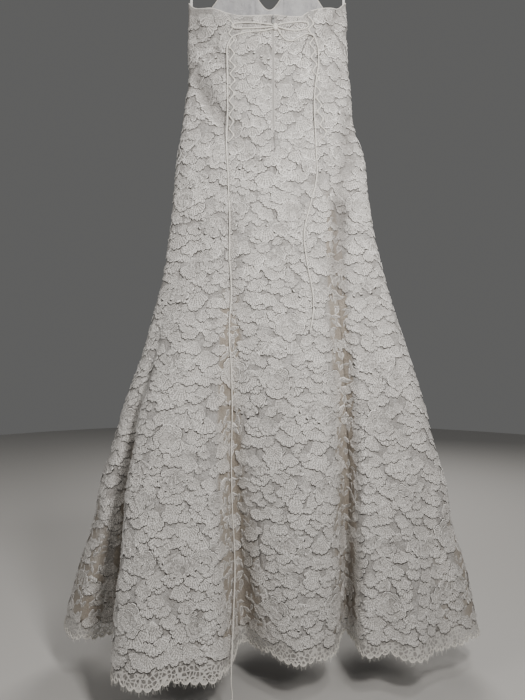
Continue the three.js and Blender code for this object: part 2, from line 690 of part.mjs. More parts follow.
// An outline drawn in (y, z) and carried along x, centred on x = 0.
function acrossX(outline, width) {
  const options = { depth: width, bevelEnabled: false, curveSegments: 6 };
  const geometry = new THREE.ExtrudeGeometry(outline, options);
  const basis = new THREE.Matrix4().makeBasis(
    new THREE.Vector3(0, 1, 0),
    new THREE.Vector3(0, 0, 1),
    new THREE.Vector3(1, 0, 0),
  );
  geometry.applyMatrix4(basis);
  geometry.translate(-width / 2, 0, 0);
  return closed(geometry);
}

// A rectangle's outline from its lower left corner.
function rectangle(x, y, width, height) {
  const outline = new THREE.Shape();
  outline.moveTo(x, y);
  outline.lineTo(x + width, y);
  outline.lineTo(x + width, y + height);
  outline.lineTo(x, y + height);
  return outline;
}

const wasm = await Module();
wasm.setup();

// The two ways between a geometry and a solid that can be joined to another.
function solid(geometry) {
  return new wasm.Manifold(new wasm.Mesh({
    numProp: 3,
    vertProperties: new Float32Array(geometry.attributes.position.array),
    triVerts: new Uint32Array(geometry.index.array),
  }));
}

function geometryOf(manifold) {
  const mesh = manifold.getMesh();
  const geometry = new THREE.BufferGeometry();
  geometry.setAttribute('position', new THREE.BufferAttribute(new Float32Array(mesh.vertProperties), 3));
  geometry.setIndex(new THREE.BufferAttribute(new Uint32Array(mesh.triVerts), 1));
  return geometry;
}

// The zip: its strip along the centre back seam, the slider with its bridge, and the tab on the bridge.
// The slider's own frame has -y out of the cloth and z up.
function buildZip() {
  buildStrip('zip_strip', zipSeam, zipStrip.fromRow, zipStrip, materials.zip);
  const foot = facetPoint(zipSeam, 0, slider.row, -clear - zipStrip.thick - seamGap);
  const plateOutline = rectangle(-slider.thick, -slider.length / 2, slider.thick, slider.length);
  const base = acrossX(plateOutline, slider.width);
  const legs = slider.thick - bridge.sunkIn;
  const arch = rectangle(-bridge.out, -bridge.length / 2, bridge.out - legs, bridge.length);
  const eye = new THREE.Path();
  const [eyeLow, eyeHigh] = [-bridge.holeLength / 2, bridge.holeLength / 2];
  eye.moveTo(-bridge.holeOut, eyeLow);
  eye.lineTo(-legs - bridge.floor, eyeLow);
  eye.lineTo(-legs - bridge.floor, eyeHigh);
  eye.lineTo(-bridge.holeOut, eyeHigh);
  arch.holes.push(eye);
  const joined = solid(base).add(solid(acrossX(arch, bridge.width)));
  add('zip_slider', geometryOf(joined), materials.metal).position.copy(foot);

  const outline = new THREE.Shape();
  const half = tab.width / 2;
  outline.moveTo(-half * tab.shoulder, tab.bar);
  outline.lineTo(-half, -tab.bar);
  outline.lineTo(-half, -tab.length * tab.straight);
  outline.quadraticCurveTo(-half * tab.belly, -tab.length, 0, -tab.length);
  outline.quadraticCurveTo(half * tab.belly, -tab.length, half, -tab.length * tab.straight);
  outline.lineTo(half, -tab.bar);
  outline.lineTo(half * tab.shoulder, tab.bar);
  const slot = new THREE.Path();
  slot.moveTo(-tab.holeWidth / 2, -tab.bar);
  slot.lineTo(tab.holeWidth / 2, -tab.bar);
  slot.lineTo(tab.holeWidth / 2, -tab.bar - tab.holeLength);
  slot.lineTo(-tab.holeWidth / 2, -tab.bar - tab.holeLength);
  outline.holes.push(slot);
  const options = { depth: tab.thick, bevelEnabled: false, curveSegments: 6 };
  const plate = new THREE.ExtrudeGeometry(outline, options);
  plate.translate(0, 0, -tab.thick / 2);
  plate.rotateX(Math.PI / 2);
  const hinge = (slider.thick + bridge.holeOut) / 2;
  add('zip_pull_tab', closed(plate), materials.metal).position.set(foot.x, foot.y - hinge, foot.z);
}

// How far the bar's upper side is cut down at a place along it.
function notchDepth(x) {
  const inside = notch.halfLength - Math.abs(Math.abs(x) - notch.x);
  return notch.deep * THREE.MathUtils.smoothstep(inside, 0, notch.edge);
}

// The bar's middle line and half its height at a place along it.
function barHeight(x) {
  return bar.centre - bar.drop * Math.sin((Math.PI / 2) * Math.min(Math.abs(x) / bar.halfLength, 1));
}

function barTall(x) {
  return bar.halfTall + ((bar.endTall - bar.halfTall) * Math.abs(x)) / bar.halfLength;
}

// The bar, and the hook that stands on it.
function buildHanger() {
  const { stations, sides, squareness } = bar;
  const points = [];
  for (let i = 0; i <= stations; i += 1) {
    const x = bar.halfLength * (-1 + (2 * i) / stations);
    const share = Math.abs(x) / bar.halfLength;
    const end = Math.sqrt(Math.max(1 - Math.pow(share, bar.endPower), bar.endFloor));
    const tall = barTall(x) * end;
    for (let k = 0; k < sides; k += 1) {
      const turn = (2 * Math.PI * (k + 0.5)) / sides;
      const [c, s] = [Math.cos(turn), Math.sin(turn)];
      const y = bar.halfThick * end * Math.sign(c) * Math.pow(Math.abs(c), squareness);
      const up = tall * Math.sign(s) * Math.pow(Math.abs(s), squareness);
      const cut = s > 0 ? notchDepth(x) : 0;
      points.push(new THREE.Vector3(x, y, barHeight(x) + up - cut - hangHeight));
    }
  }
  const faces = [];
  for (let i = 0; i < stations; i += 1) {
    for (let k = 0; k < sides; k += 1) {
      const [a, b] = [i * sides + k, i * sides + ((k + 1) % sides)];
      faces.push([a, b, b + sides], [a, b + sides, a + sides]);
    }
  }
  for (let k = 1; k < sides - 1; k += 1) {
    const last = stations * sides;
    faces.push([0, k + 1, k], [last, last + k, last + k + 1]);
  }
  add('hanger_bar', body(points, faces), materials.wood);

  const wire = new THREE.Shape();
  wire.absarc(0, 0, hook.wire, 0, 2 * Math.PI);
  const flat = Math.pow(Math.cos(Math.PI / sides), squareness); // how far out the section's sides lie
  const barTop = bar.centre + bar.halfTall * flat;
  const middle = hangHeight + hook.wire - hook.bend;
  const track = [[0, barTop + seamGap], [0, barTop + hook.stemLow], [0, hook.stemTop]];
  for (let degrees = hook.fromTurn; degrees <= hook.toTurn; degrees += hook.turnStep) {
    const turn = THREE.MathUtils.degToRad(degrees);
    track.push([hook.bend * Math.cos(turn), middle + hook.bend * Math.sin(turn)]);
  }
  const path = new THREE.CatmullRomCurve3(track.map(([x, h]) => new THREE.Vector3(x, 0, h - hangHeight)));
  const options = { steps: hook.steps, extrudePath: path, bevelEnabled: false, curveSegments: 4 };
  add('hanger_hook', closed(new THREE.ExtrudeGeometry(wire, options)), materials.metal);
}

// Each ribbon is a loop, sewn inside a side seam and laid round the bar in its notch.
function buildRibbons() {
  for (const [name, side] of [['left', -1], ['right', 1]]) {
    const seam = side < 0 ? 0 : rightSideSeam;
    const face = insetPoint(seam, ribbon.low + ribbon.sewnAt, wall + seamGap);
    const x = face.x - side * (ribbon.width / 2 + clear);
    const near = Math.abs(x) - ribbon.width / 2; // the ribbon's edge on the higher side of the bar
    const top = barHeight(near) + barTall(near) - notch.deep - hangHeight + clear + seamGap;
    const [low, join, spread] = [ribbon.low, ribbon.join, ribbon.spread].map((h) => h - hangHeight);
    const inside = bar.halfThick + clear;
    const loop = (outline, half, from, reach) => {
      outline.lineTo(half, from);
      outline.lineTo(reach, spread);
      outline.lineTo(reach, top - ribbon.curl);
      outline.quadraticCurveTo(reach, top + (reach - inside), 0, top + (reach - inside));
      outline.quadraticCurveTo(-reach, top + (reach - inside), -reach, top - ribbon.curl);
      outline.lineTo(-reach, spread);
      outline.lineTo(-half, from);
    };
    const outline = new THREE.Shape();
    outline.moveTo(-ribbon.thick, low);
    outline.lineTo(ribbon.thick, low);
    loop(outline, ribbon.thick, join, inside + ribbon.thick);
    const hole = new THREE.Path();
    hole.moveTo(0, join + ribbon.forkLow);
    loop(hole, ribbon.forkHalf, join + ribbon.forkHigh, inside);
    outline.holes.push(hole);
    add(`hanger_ribbon_${name}`, acrossX(outline, ribbon.width), materials.satin).position.x = x;
  }
}

buildPanels();
buildBorder('hem_lace_back', 0, rightSideFold);
buildBorder('hem_lace_front', rightSideFold, folds.length);
buildCups();
buildLacing('lacing_left', leftLacing);
buildLacing('lacing_right', rightLacing);
buildZip();
buildCords();
buildHanger();
buildRibbons();

export default group;
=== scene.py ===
"""A strapless wedding gown of corded lace over satin, hung by two ribbon loops from a wooden hanger.

Lengths are in millimetres until a mesh is made. +Z is up, -Y is the gown's back, which faces the camera,
and +X is the right-hand side seen from the back. The origin is the inside of the hook's top, and heights
are measured up from the tips of the hem. The gown's surface has two parameters: a fold number, which
runs once round the gown, and a height.
"""

import logging
import math
from dataclasses import dataclass, field
from enum import Enum
from typing import NamedTuple

import bpy
import numpy as np
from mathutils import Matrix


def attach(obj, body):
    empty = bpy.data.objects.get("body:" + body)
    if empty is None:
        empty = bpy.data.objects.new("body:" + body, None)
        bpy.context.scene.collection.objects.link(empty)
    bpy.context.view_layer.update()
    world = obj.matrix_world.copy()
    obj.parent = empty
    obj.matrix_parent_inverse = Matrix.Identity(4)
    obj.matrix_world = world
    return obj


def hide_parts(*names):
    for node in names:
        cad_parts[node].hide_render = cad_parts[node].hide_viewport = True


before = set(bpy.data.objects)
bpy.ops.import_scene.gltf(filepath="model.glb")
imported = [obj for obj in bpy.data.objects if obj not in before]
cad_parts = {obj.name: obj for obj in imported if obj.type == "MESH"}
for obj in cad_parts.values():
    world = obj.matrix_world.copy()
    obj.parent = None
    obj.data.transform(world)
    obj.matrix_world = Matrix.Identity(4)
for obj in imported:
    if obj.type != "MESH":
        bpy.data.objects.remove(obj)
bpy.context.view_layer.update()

Array = np.ndarray
Piece = bpy.types.Object
Material = bpy.types.Material
Point = tuple[float, float, float]
MM = 0.001
HANG_HEIGHT = 1590.0
WALL = 2.0
TRIM = 0.3
BORDER_TOP = 42.0
BODY = "gown"
log = logging.getLogger("gown")


# Tables of the gown's form, in the part's own sizes


class Section(NamedTuple):
    """A level section: the reach from the middle plane, and the depth of the body before its folds."""

    height: float
    left: float
    right: float
    back: float
    front: float


class Fold(NamedTuple):
    """A fold line: its turn on the bodice, reach at the knee, place at the hem, and where it starts."""

    turn: float
    knee: float
    x: float
    y: float
    start: float


class Crease(NamedTuple):
    """A trough from (x, height) to (to_x, to_height), with its half-width and how far it sinks."""

    back: bool
    x: float
    height: float
    to_x: float
    to_height: float
    width: float
    depth: float


class Edge(NamedTuple):
    """A place on the top edge."""

    turn: float
    height: float


class Seam(NamedTuple):
    """A seam: its turn at the top and at the waist, and the fold that it has reached at the hem."""

    top: float
    waist: float
    fold: float


class OpenStrip(NamedTuple):
    """A strip of open lace up from the hem: its fold, its half-width in folds, and its upper end."""

    fold: float
    half_width: float
    top: float


SECTIONS = (
    Section(0, 467, 465, 92, 120),
    Section(60, 450, 449, 90, 116),
    Section(150, 423, 430, 86, 110),
    Section(240, 392, 400, 82, 103),
    Section(330, 373, 386, 78, 96),
    Section(420, 343, 358, 74, 88),
    Section(510, 315, 336, 70, 80),
    Section(600, 281, 307, 66, 73),
    Section(688, 256, 278, 61, 66),
    Section(776, 233, 251, 57, 60),
    Section(864, 219, 229, 54, 56),
    Section(950, 210, 214, 51, 53),
    Section(1038, 201, 205, 47, 50),
    Section(1090, 192, 188, 44, 48),
    Section(1126, 187, 179, 42, 47),
    Section(1170, 182, 177, 41, 47),
    Section(1214, 176, 172, 40, 48),
    Section(1257, 177, 168, 40, 49),
    Section(1336, 177, 167, 40, 46),
    Section(1450, 179, 167, 38, 42),
)

OPEN_STRIPS = (
    OpenStrip(9.5, 1.25, 800),
    OpenStrip(14.0, 0.85, 1000),
    OpenStrip(2.6, 0.8, 380),
    OpenStrip(22.2, 0.8, 780),
    OpenStrip(25.2, 0.9, 860),
    OpenStrip(28.4, 0.9, 840),
    OpenStrip(31.4, 0.8, 700),
)
STRIP_OPENNESS = 0.62  # how open a strip is, and how much painted warm valley shade it gets, where 1 is the deepest valley
STRIP_FADE = 170.0  # the height over which it comes on below its upper end
STRIP_EDGE = 0.6  # and the share of its half-width over which it comes on from its sides

KNEE_HEIGHT = 510.0
HIP_HEIGHT = 930.0
ABOVE_CLOTH = 1500.0
BODY_ROUNDNESS = 0.4  # the power of a section's outline: flat in the middle, round at the sides
FOLD_ONSET = 1.3  # the power by which a fold deepens from its start to the hem
LAST_TURN = 270.0
VALLEY_DEPTH = 90.0  # cloth this far inside the crests beside it is deep in a valley
VALLEY_START = 0.2  # a share of that depth that still counts as plain cloth
CREASE_SHADE_DEPTH = 13.0  # a crease sunk this far gets the darkest painted shade
CREASE_FADE = 0.5  # a crease sinks less by this share at its far end
CREST_REACH = 36  # columns of the surface's table to each side, in which a crest is looked for
CREST_STEP = 4
LAST_CELL = 1.000001  # taken from a table's length, so that its far edge lies in its last cell
HALVINGS = 18  # how often the search for a place along the cloth halves its range

# From the left side seam over the back to the right side seam, and home over the front
FOLDS = (
    Fold(-90, -315, -467, 40, 560),
    Fold(-83, -303, -410, -36, 600),
    Fold(-76, -288, -350, -8, 600),
    Fold(-69, -275, -322, 14, 640),
    Fold(-63, -268, -312, -88, 700),
    Fold(-57, -258, -298, -178, 760),
    Fold(-48, -205, -236, -208, 820),
    Fold(-40, -157, -166, -187, 820),
    Fold(-32, -118, -98, -178, 780),
    Fold(-27, -97, -74, -108, 760),
    Fold(-21, -76, -54, -38, 820),
    Fold(-10, -40, -2, -90, 820),
    Fold(7, 38, 60, -128, 800),
    Fold(27, 118, 130, -88, 780),
    Fold(37, 158, 166, 6, 900),
    Fold(44, 186, 188, -92, 860),
    Fold(52, 216, 238, -94, 700),
    Fold(60, 248, 296, -114, 760),
    Fold(70, 284, 366, -64, 620),
    Fold(80, 314, 426, -40, 560),
    Fold(90, 336, 465, 16, 560),
    Fold(101, 316, 425, 98, 620),
    Fold(112, 280, 346, 70, 700),
    Fold(124, 232, 286, 142, 760),
    Fold(136, 172, 214, 158, 780),
    Fold(148, 116, 140, 84, 820),
    Fold(162, 60, 74, 146, 820),
    Fold(176, 6, -10, 164, 800),
    Fold(190, -56, -88, 92, 820),
    Fold(204, -118, -158, 154, 780),
    Fold(218, -176, -236, 148, 760),
    Fold(232, -226, -306, 84, 700),
    Fold(246, -268, -376, 124, 620),
    Fold(259, -300, -440, 94, 560),
)
RIGHT_SIDE = 20  # the fold row of the right side seam

# Pull folds, where the gown's weight hangs from its two side corners
PULL_FOLDS = (
    Crease(True, -172, 1372, -100, 1300, 13, 9),
    Crease(True, -172, 1322, -102, 1232, 14, 8),
    Crease(True, -172, 1226, -48, 1038, 17, 11),
    Crease(True, 163, 1378, 106, 1280, 9, 10),
    Crease(True, 160, 1222, 126, 1160, 15, 7),
    Crease(True, 172, 1116, 150, 900, 16, 12),
    Crease(True, 152, 930, 144, 740, 18, 16),
    Crease(True, -84, 900, -82, 700, 16, 6),
    Crease(False, -168, 1366, -116, 1250, 14, 8),
    Crease(False, 158, 1370, 112, 1262, 13, 9),
    Crease(False, -150, 1180, -60, 1040, 17, 9),
    Crease(False, 150, 1200, 70, 1050, 16, 8),
)

# Softer creases that only the cloth's skin has
SOFT_CREASES = (
    Crease(True, -172, 1348, -112, 1262, 8, 4.5),
    Crease(True, -170, 1206, -76, 1046, 8, 6.5),
    Crease(True, 164, 1352, 108, 1272, 7, 4.5),
    Crease(True, -160, 1290, -112, 1196, 9, 2.6),
    Crease(True, -150, 1160, -70, 1072, 10, 2.4),
    Crease(True, 150, 1300, 118, 1230, 8, 2.4),
    Crease(True, 40, 1160, 78, 1130, 9, 1.8),
    Crease(True, -60, 1190, -20, 1168, 9, 1.6),
    Crease(True, 20, 1096, 74, 1078, 10, 2.0),
    Crease(True, -30, 1010, -70, 960, 13, 2.2),
    Crease(True, 70, 1000, 60, 870, 14, 2.6),
    Crease(True, 20, 880, 34, 690, 18, 3.0),
    Crease(True, -150, 880, -170, 640, 18, 3.6),
    Crease(True, 210, 760, 226, 520, 18, 4.0),
    Crease(True, -120, 620, -128, 380, 20, 4.0),
    Crease(True, 40, 560, 20, 300, 22, 4.0),
    Crease(True, 250, 480, 262, 200, 22, 4.4),
    Crease(True, -190, 380, -200, 120, 24, 4.4),
    Crease(False, -60, 1000, -90, 820, 16, 3.0),
    Crease(False, 60, 1010, 40, 780, 17, 3.4),
    Crease(False, 160, 860, 180, 620, 18, 3.6),
    Crease(False, -180, 800, -210, 540, 18, 3.8),
    Crease(False, 0, 640, 14, 380, 20, 4.0),
    Crease(False, 240, 520, 262, 240, 22, 4.4),
    Crease(False, -230, 420, -250, 160, 22, 4.4),
)

TOP_EDGE = (
    Edge(-90, 1381), Edge(-74, 1367), Edge(-54, 1357), Edge(-42, 1351), Edge(-30, 1338), Edge(-18, 1331),
    Edge(3, 1332), Edge(22, 1330), Edge(31, 1344), Edge(44, 1352), Edge(60, 1358), Edge(90, 1381),
    Edge(105, 1372), Edge(125, 1378), Edge(143, 1430), Edge(154, 1452), Edge(166, 1440), Edge(180, 1394),
    Edge(194, 1440), Edge(206, 1452), Edge(217, 1430), Edge(235, 1378), Edge(255, 1372), Edge(270, 1381),
)


class CordRoute(NamedTuple):
    """A cord of the bow: its route, as x, height and y, and where it ends."""

    name: str
    samples: int
    far_end: str
    route: tuple[Point, ...]


CORD_SIZE = 2.4
CORD_ROUTES = (
    CordRoute("bow_loop_left", 120, "object", (
        (5.9, 1308, -45), (-14, 1311, -44.2), (-42, 1314, -43), (-64, 1314, -42), (-78, 1311, -42),
        (-81, 1306.5, -42), (-75, 1303, -42), (-56, 1302.5, -42.2), (-28, 1302.5, -43.4), (5.1, 1304, -45),
    )),
    CordRoute("bow_loop_right", 120, "object", (
        (16.1, 1308, -45), (32, 1312, -44), (52, 1315, -42.6), (72, 1316, -41.8), (81, 1313, -41.8),
        (80, 1306, -41.8), (68, 1300, -41.8), (50, 1298, -42.6), (32, 1300, -43.8), (16.9, 1304, -45),
    )),
    CordRoute("tail_left", 500, "bare", (
        (5.9, 1300, -45), (-18, 1296, -43.4), (-42, 1295, -42.4), (-64, 1291, -41.8), (-80, 1283, -43.4),
        (-90, 1266, -42), (-91, 1239, -39.6), (-90.5, 1196, -38.8), (-90, 1153, -39.4), (-90.5, 1105, -41),
        (-92.5, 1060, -43.6), (-89, 1001, -47.6), (-87, 946, -49.8), (-85, 904, -48.8), (-85, 860, -49.6),
        (-85, 813, -51.2), (-82, 773, -53.4), (-82, 720, -54.8), (-85, 686, -57.6), (-85, 638, -60),
        (-82, 605, -60.4), (-80, 560, -60), (-79, 486, -60), (-80, 442, -59.6), (-81, 394, -60.6),
        (-79, 296, -61.6), (-75, 226, -63), (-72.5, 168, -72), (-73.5, 112, -94), (-75, 46, -122),
        (-76, 10, -139), (-76, -20, -147), (-74, -44, -148), (-75, -76, -148),
    )),
    CordRoute("tail_right", 300, "bare", (
        (16.1, 1300, -45), (24, 1287, -43.8), (33, 1278, -43), (47, 1275.5, -42.4), (64, 1284, -41.8),
        (80, 1291, -42.6), (92, 1287, -41.6), (100, 1272, -38.6), (103, 1252, -37), (103, 1230, -37.2),
        (99, 1203, -41), (94, 1160, -42.6), (94, 1120, -43), (96, 1085, -43.6), (97, 1049, -45),
        (99, 997, -47.6), (95, 967, -49.4), (86, 933, -51.4), (75, 890, -53.8), (71, 863, -55),
        (77, 806, -57.2), (89, 739, -60.2), (90, 705, -62.4), (83, 659, -66.8),
    )),
)

# The two cups: their middles, their reach across and up, and how far they push the front out
CUP_X = 82.0
CUP_HEIGHT = 1372.0
CUP_ACROSS = 46.0
CUP_UP = 52.0
CUP_OUT = 40.0

SEAMS = (
    Seam(-90, -90, 0),
    Seam(-27, -24.2, 7),
    Seam(2.7, 2.7, 11),
    Seam(30, 36, 14.2),
    Seam(90, 90, 20),
    Seam(118, 118.9, 22.5),
    Seam(148, 150, 25),
    Seam(212, 210, 29.6),
    Seam(243, 242, 33),
    Seam(270, 270, 34),
)
WAIST_HEIGHT = 1090.0
BODICE_TOP = 1300.0
SEAM_TURNS_BELOW = 1060.0  # from here down a seam leaves its turn for its fold
SEAM_SETTLED = 200.0  # and from here down it lies on its fold
LEFT_LACING, ZIP_SEAM, RIGHT_LACING = 1, 2, 3

PANEL_NAMES = (
    "panel_back_side_left",
    "panel_back_centre_left",
    "panel_back_centre_right",
    "panel_back_side_right",
    "panel_front_side_right",
    "panel_front_right",
    "panel_front_centre",
    "panel_front_left",
    "panel_front_side_left",
)


def smoothstep(value: Array, low: float, high: float) -> Array:
    """A soft step: 0 below low, 1 above high, and a cubic between them."""
    t = np.clip((value - low) / (high - low), 0.0, 1.0)
    return t * t * (3.0 - 2.0 * t)


def together(*columns: Array | float) -> Array:
    """Several arrays, spread to one shape and laid along a new last axis."""
    return np.stack(np.broadcast_arrays(*columns), axis=-1)


def unit(vectors: Array) -> Array:
    """Each vector at a length of one."""
    return vectors / np.linalg.norm(vectors, axis=-1, keepdims=True)


def row_height(top: Array | float, row: Array | float) -> Array | float:
    """The height at a share of the way from the satin's hem to the top edge."""
    return BORDER_TOP + (top - BORDER_TOP) * row


def to_row(points: Array) -> Array:
    """Turns x, y and height in millimetres into the row frame's metres, with z measured from the hook."""
    return (np.asarray(points, float) - (0.0, 0.0, HANG_HEIGHT)) * MM


class Curve:
    """A smooth curve through a table's rows: a cubic between two rows, sloped by each row's neighbours."""

    def __init__(self, at: Array, values: Array) -> None:
        """Keeps the rows and works out a slope at each.

        Args:
            at: the rows' places, rising.
            values: the rows' values, with the rows along the last axis.
        """
        self.at = np.asarray(at, float)
        self.values = np.asarray(values, float)
        low = np.maximum(np.arange(len(self.at)) - 1, 0)
        high = np.minimum(np.arange(len(self.at)) + 1, len(self.at) - 1)
        self.slopes = (self.values[..., high] - self.values[..., low]) / (self.at[high] - self.at[low])

    def __call__(self, value: Array) -> Array:
        """The curve between its rows, held level past both ends.

        Args:
            value: places, in any shape.

        Returns:
            The curve's values there.
        """
        v = np.clip(np.asarray(value, float), self.at[0], self.at[-1])
        i = np.clip(np.searchsorted(self.at, v, "right") - 1, 0, len(self.at) - 2)
        step = self.at[i + 1] - self.at[i]
        s = (v - self.at[i]) / step
        start = self.values[..., i]
        rise = self.values[..., i + 1] - start
        leave = self.slopes[..., i] * step
        arrive = self.slopes[..., i + 1] * step
        return start + s * (leave + s * (3 * rise - 2 * leave - arrive + s * (leave + arrive - 2 * rise)))


@dataclass
class GownSurface:
    """The gown's outer face as a fine table over fold number and height, with lengths along it.

    Each table has heights down and fold numbers across: the points' x and y, their normals, the length
    along the cloth from the left side seam, and how deep in a valley or a crease each place is.
    """

    per_fold: int = 24
    height_step: float = 5.0
    lowest: float = -10.0
    highest: float = 1470.0

    def __post_init__(self) -> None:
        """Works out the tables."""
        count = len(FOLDS)
        self.numbers = np.linspace(0.0, count, count * self.per_fold + 1)
        self.heights = np.arange(self.lowest, self.highest + self.height_step, self.height_step)
        folds = np.array(FOLDS)
        self.turns = np.append(folds[:, 0], LAST_TURN)
        self.top_curve = Curve([e.turn for e in TOP_EDGE], [e.height for e in TOP_EDGE])
        fold_x, fold_y = self._fold_lines(folds)
        weights = self._weights(count)
        x = fold_x @ weights.T
        y = fold_y @ weights.T
        self.x, self.y = self._creased(x, y)
        along_x = np.gradient(self.x, self.numbers, axis=1)
        along_y = np.gradient(self.y, self.numbers, axis=1)
        up_x = np.gradient(self.x, self.heights, axis=0)
        up_y = np.gradient(self.y, self.heights, axis=0)
        normal = unit(together(along_y, -along_x, along_x * up_y - along_y * up_x))
        normal[:, 0] = normal[:, -1] = normal[:, 0] + normal[:, -1]
        self.normal = unit(normal)
        steps = np.hypot(np.diff(self.x, axis=1), np.diff(self.y, axis=1))
        self.length = np.concatenate([np.zeros((len(self.heights), 1)), np.cumsum(steps, axis=1)], axis=1)
        self.valley = self._valleys(x, y)

    def _curves(self) -> dict[str, Curve]:
        """A curve for each column of the sections' table."""
        at = [s.height for s in SECTIONS]
        return {key: Curve(at, [getattr(s, key) for s in SECTIONS]) for key in Section._fields[1:]}

    def _valleys(self, x: Array, y: Array) -> Array:
        """How deep in a valley each place is: how far inside the crests beside it, past the body's own shape.

        Args:
            x: places across, heights down and fold numbers across.
            y: their depths.

        Returns:
            0 on a crest and on plain cloth, 1 deep in a valley.
        """
        curves = self._curves()
        rows = self.heights[:, None]
        reach = np.where(x < 0, curves["left"](rows), curves["right"](rows))
        share = np.clip(x / reach, -1.0, 1.0)
        plain = curves["back"](rows) * np.maximum(1 - share**2, 0.0) ** BODY_ROUNDNESS
        past = np.abs(y) - plain
        crest = past
        wrapped = np.arange(past.shape[1])
        wrapped[-1] = 0
        for shift in range(-CREST_REACH, CREST_REACH + 1, CREST_STEP):
            beside = np.roll(past[:, :-1], shift, axis=1)[:, wrapped]
            crest = np.maximum(crest, beside)
        deep = np.clip((crest - past) / VALLEY_DEPTH - VALLEY_START, 0.0, 1.0)
        for fold, half_width, top in OPEN_STRIPS:
            inside = smoothstep(1.0 - np.abs(self.numbers - fold) / half_width, 0.0, STRIP_EDGE)
            below = smoothstep((top - rows) / STRIP_FADE, 0.0, 1.0)
            deep = np.maximum(deep, STRIP_OPENNESS * inside * below)
        return deep

    def _fold_lines(self, folds: Array) -> tuple[Array, Array]:
        """Where each fold line stands at each height.

        A fold's share of the reach runs smoothly from the hem over the knee to the bodice. Its depth is
        the body's, round at the sides and flatter in the middle, plus its own depth at the hem, which
        grows from nothing at the fold's start.

        Args:
            folds: the table of folds.

        Returns:
            x and y, with heights down and folds across.
        """
        curves = self._curves()
        turn, knee, hem_x, hem_y, start = folds.T
        bodice = np.sin(np.radians(turn))
        back = np.cos(np.radians(turn)) > 0
        hem_reach = np.where(hem_x < 0, SECTIONS[0].left, SECTIONS[0].right)
        knee_reach = np.where(knee < 0, curves["left"](KNEE_HEIGHT), curves["right"](KNEE_HEIGHT))
        shares = np.stack([hem_x / hem_reach, knee / knee_reach, bodice, bodice], axis=-1)
        share = Curve([0.0, KNEE_HEIGHT, HIP_HEIGHT, ABOVE_CLOTH], shares)(self.heights).T
        share = np.clip(share, -1.0, 1.0)
        rows = self.heights[:, None]
        reach = np.where(bodice < 0, curves["left"](rows), curves["right"](rows))
        depth = np.where(back, curves["back"](rows), curves["front"](rows))
        depth = depth * np.maximum(1 - share**2, 0.0) ** BODY_ROUNDNESS
        hem_depth = np.where(back, SECTIONS[0].back, SECTIONS[0].front)
        hem_depth = hem_depth * np.maximum(1 - (hem_x / hem_reach) ** 2, 0.0) ** BODY_ROUNDNESS
        sign = np.where(back, -1.0, 1.0)
        grown = np.maximum(1 - rows / start, 0.0) ** FOLD_ONSET
        return share * reach, sign * depth + grown * (hem_y - sign * hem_depth)

    def _weights(self, count: int) -> Array:
        """The share of each fold line in each number: a closed cubic through four neighbours.

        Args:
            count: how many fold lines there are.

        Returns:
            Shares, with numbers down and fold lines across.
        """
        i = np.floor(self.numbers).astype(int)
        s = self.numbers - i
        parts = (
            (-s + 2 * s**2 - s**3) / 2,
            (2 - 5 * s**2 + 3 * s**3) / 2,
            (s + 4 * s**2 - 3 * s**3) / 2,
            (-(s**2) + s**3) / 2,
        )
        weights = np.zeros((len(self.numbers), count))
        rows = np.arange(len(self.numbers))
        for k, part in enumerate(parts):
            np.add.at(weights, (rows, (i + k - 1) % count), part)
        return weights

    def _creased(self, x: Array, y: Array) -> tuple[Array, Array]:
        """Sinks the creases into the plain body and pushes the two cups out of its front.

        A crease is a trough with a bell curve for its profile, and a cup is a swell of the same kind.

        Args:
            x: places across, heights down and fold numbers across.
            y: their depths.

        Returns:
            The moved x and y.
        """
        out_x = np.gradient(y, self.numbers, axis=1)
        out_y = -np.gradient(x, self.numbers, axis=1)
        long = np.hypot(out_x, out_y)
        out_x, out_y = out_x / long, out_y / long
        rows = self.heights[:, None]
        sunk = np.zeros_like(x)
        for shaded_crease in PULL_FOLDS + SOFT_CREASES:
            run = shaded_crease.to_x - shaded_crease.x
            drop = shaded_crease.to_height - shaded_crease.height
            along = ((x - shaded_crease.x) * run + (rows - shaded_crease.height) * drop) / (run**2 + drop**2)
            along = np.clip(along, 0.0, 1.0)
            away = np.hypot(x - shaded_crease.x - along * run, rows - shaded_crease.height - along * drop) / shaded_crease.width
            side = out_y < 0 if shaded_crease.back else out_y >= 0
            sunk += side * shaded_crease.depth * np.exp(-(away**2)) * (1 - CREASE_FADE * along)
        across = (np.abs(x) - CUP_X) / CUP_ACROSS
        up = (rows - CUP_HEIGHT) / CUP_UP
        bulge = np.where(out_y >= 0, CUP_OUT * np.exp(-(across**2) - up**2) * out_y, 0.0)
        # how deep each place lies in a crease, kept to paint shade into the lace and the net
        self.shaded_crease = np.clip(sunk / CREASE_SHADE_DEPTH, 0.0, 1.0)
        move = -sunk * np.abs(out_y)
        return x + out_x * move, y + out_y * move + bulge

    def _read(self, table: Array, number: Array, height: Array) -> Array:
        """Reads a table between its rows and columns.

        Args:
            table: numbers, or vectors along a third axis.
            number: fold numbers.
            height: heights.

        Returns:
            The numbers or vectors there.
        """
        column = np.clip(number * self.per_fold, 0, len(self.numbers) - LAST_CELL)
        row = np.clip((height - self.lowest) / self.height_step, 0, len(self.heights) - LAST_CELL)
        i, j = column.astype(int), row.astype(int)
        s, t = column - i, row - j
        if table.ndim == 3:
            s, t = s[..., None], t[..., None]
        low = table[j, i] * (1 - s) + table[j, i + 1] * s
        high = table[j + 1, i] * (1 - s) + table[j + 1, i + 1] * s
        return low * (1 - t) + high * t

    def points(self, number: Array, height: Array, out: Array | float = 0.0) -> Array:
        """Points of the face, moved along its normal.

        Args:
            number: fold numbers, wrapped round the gown where they run past its ends.
            height: heights above the hem's tips.
            out: how far to move each point outward, less than nothing for inward.

        Returns:
            x, y and height, along a new last axis.
        """
        number = np.mod(number, len(FOLDS))
        number, height = np.broadcast_arrays(number, np.asarray(height, float))
        x = self._read(self.x, number, height)
        y = self._read(self.y, number, height)
        base = together(x, y, height)
        return base + self._read(self.normal, number, height) * np.asarray(out)[..., None]

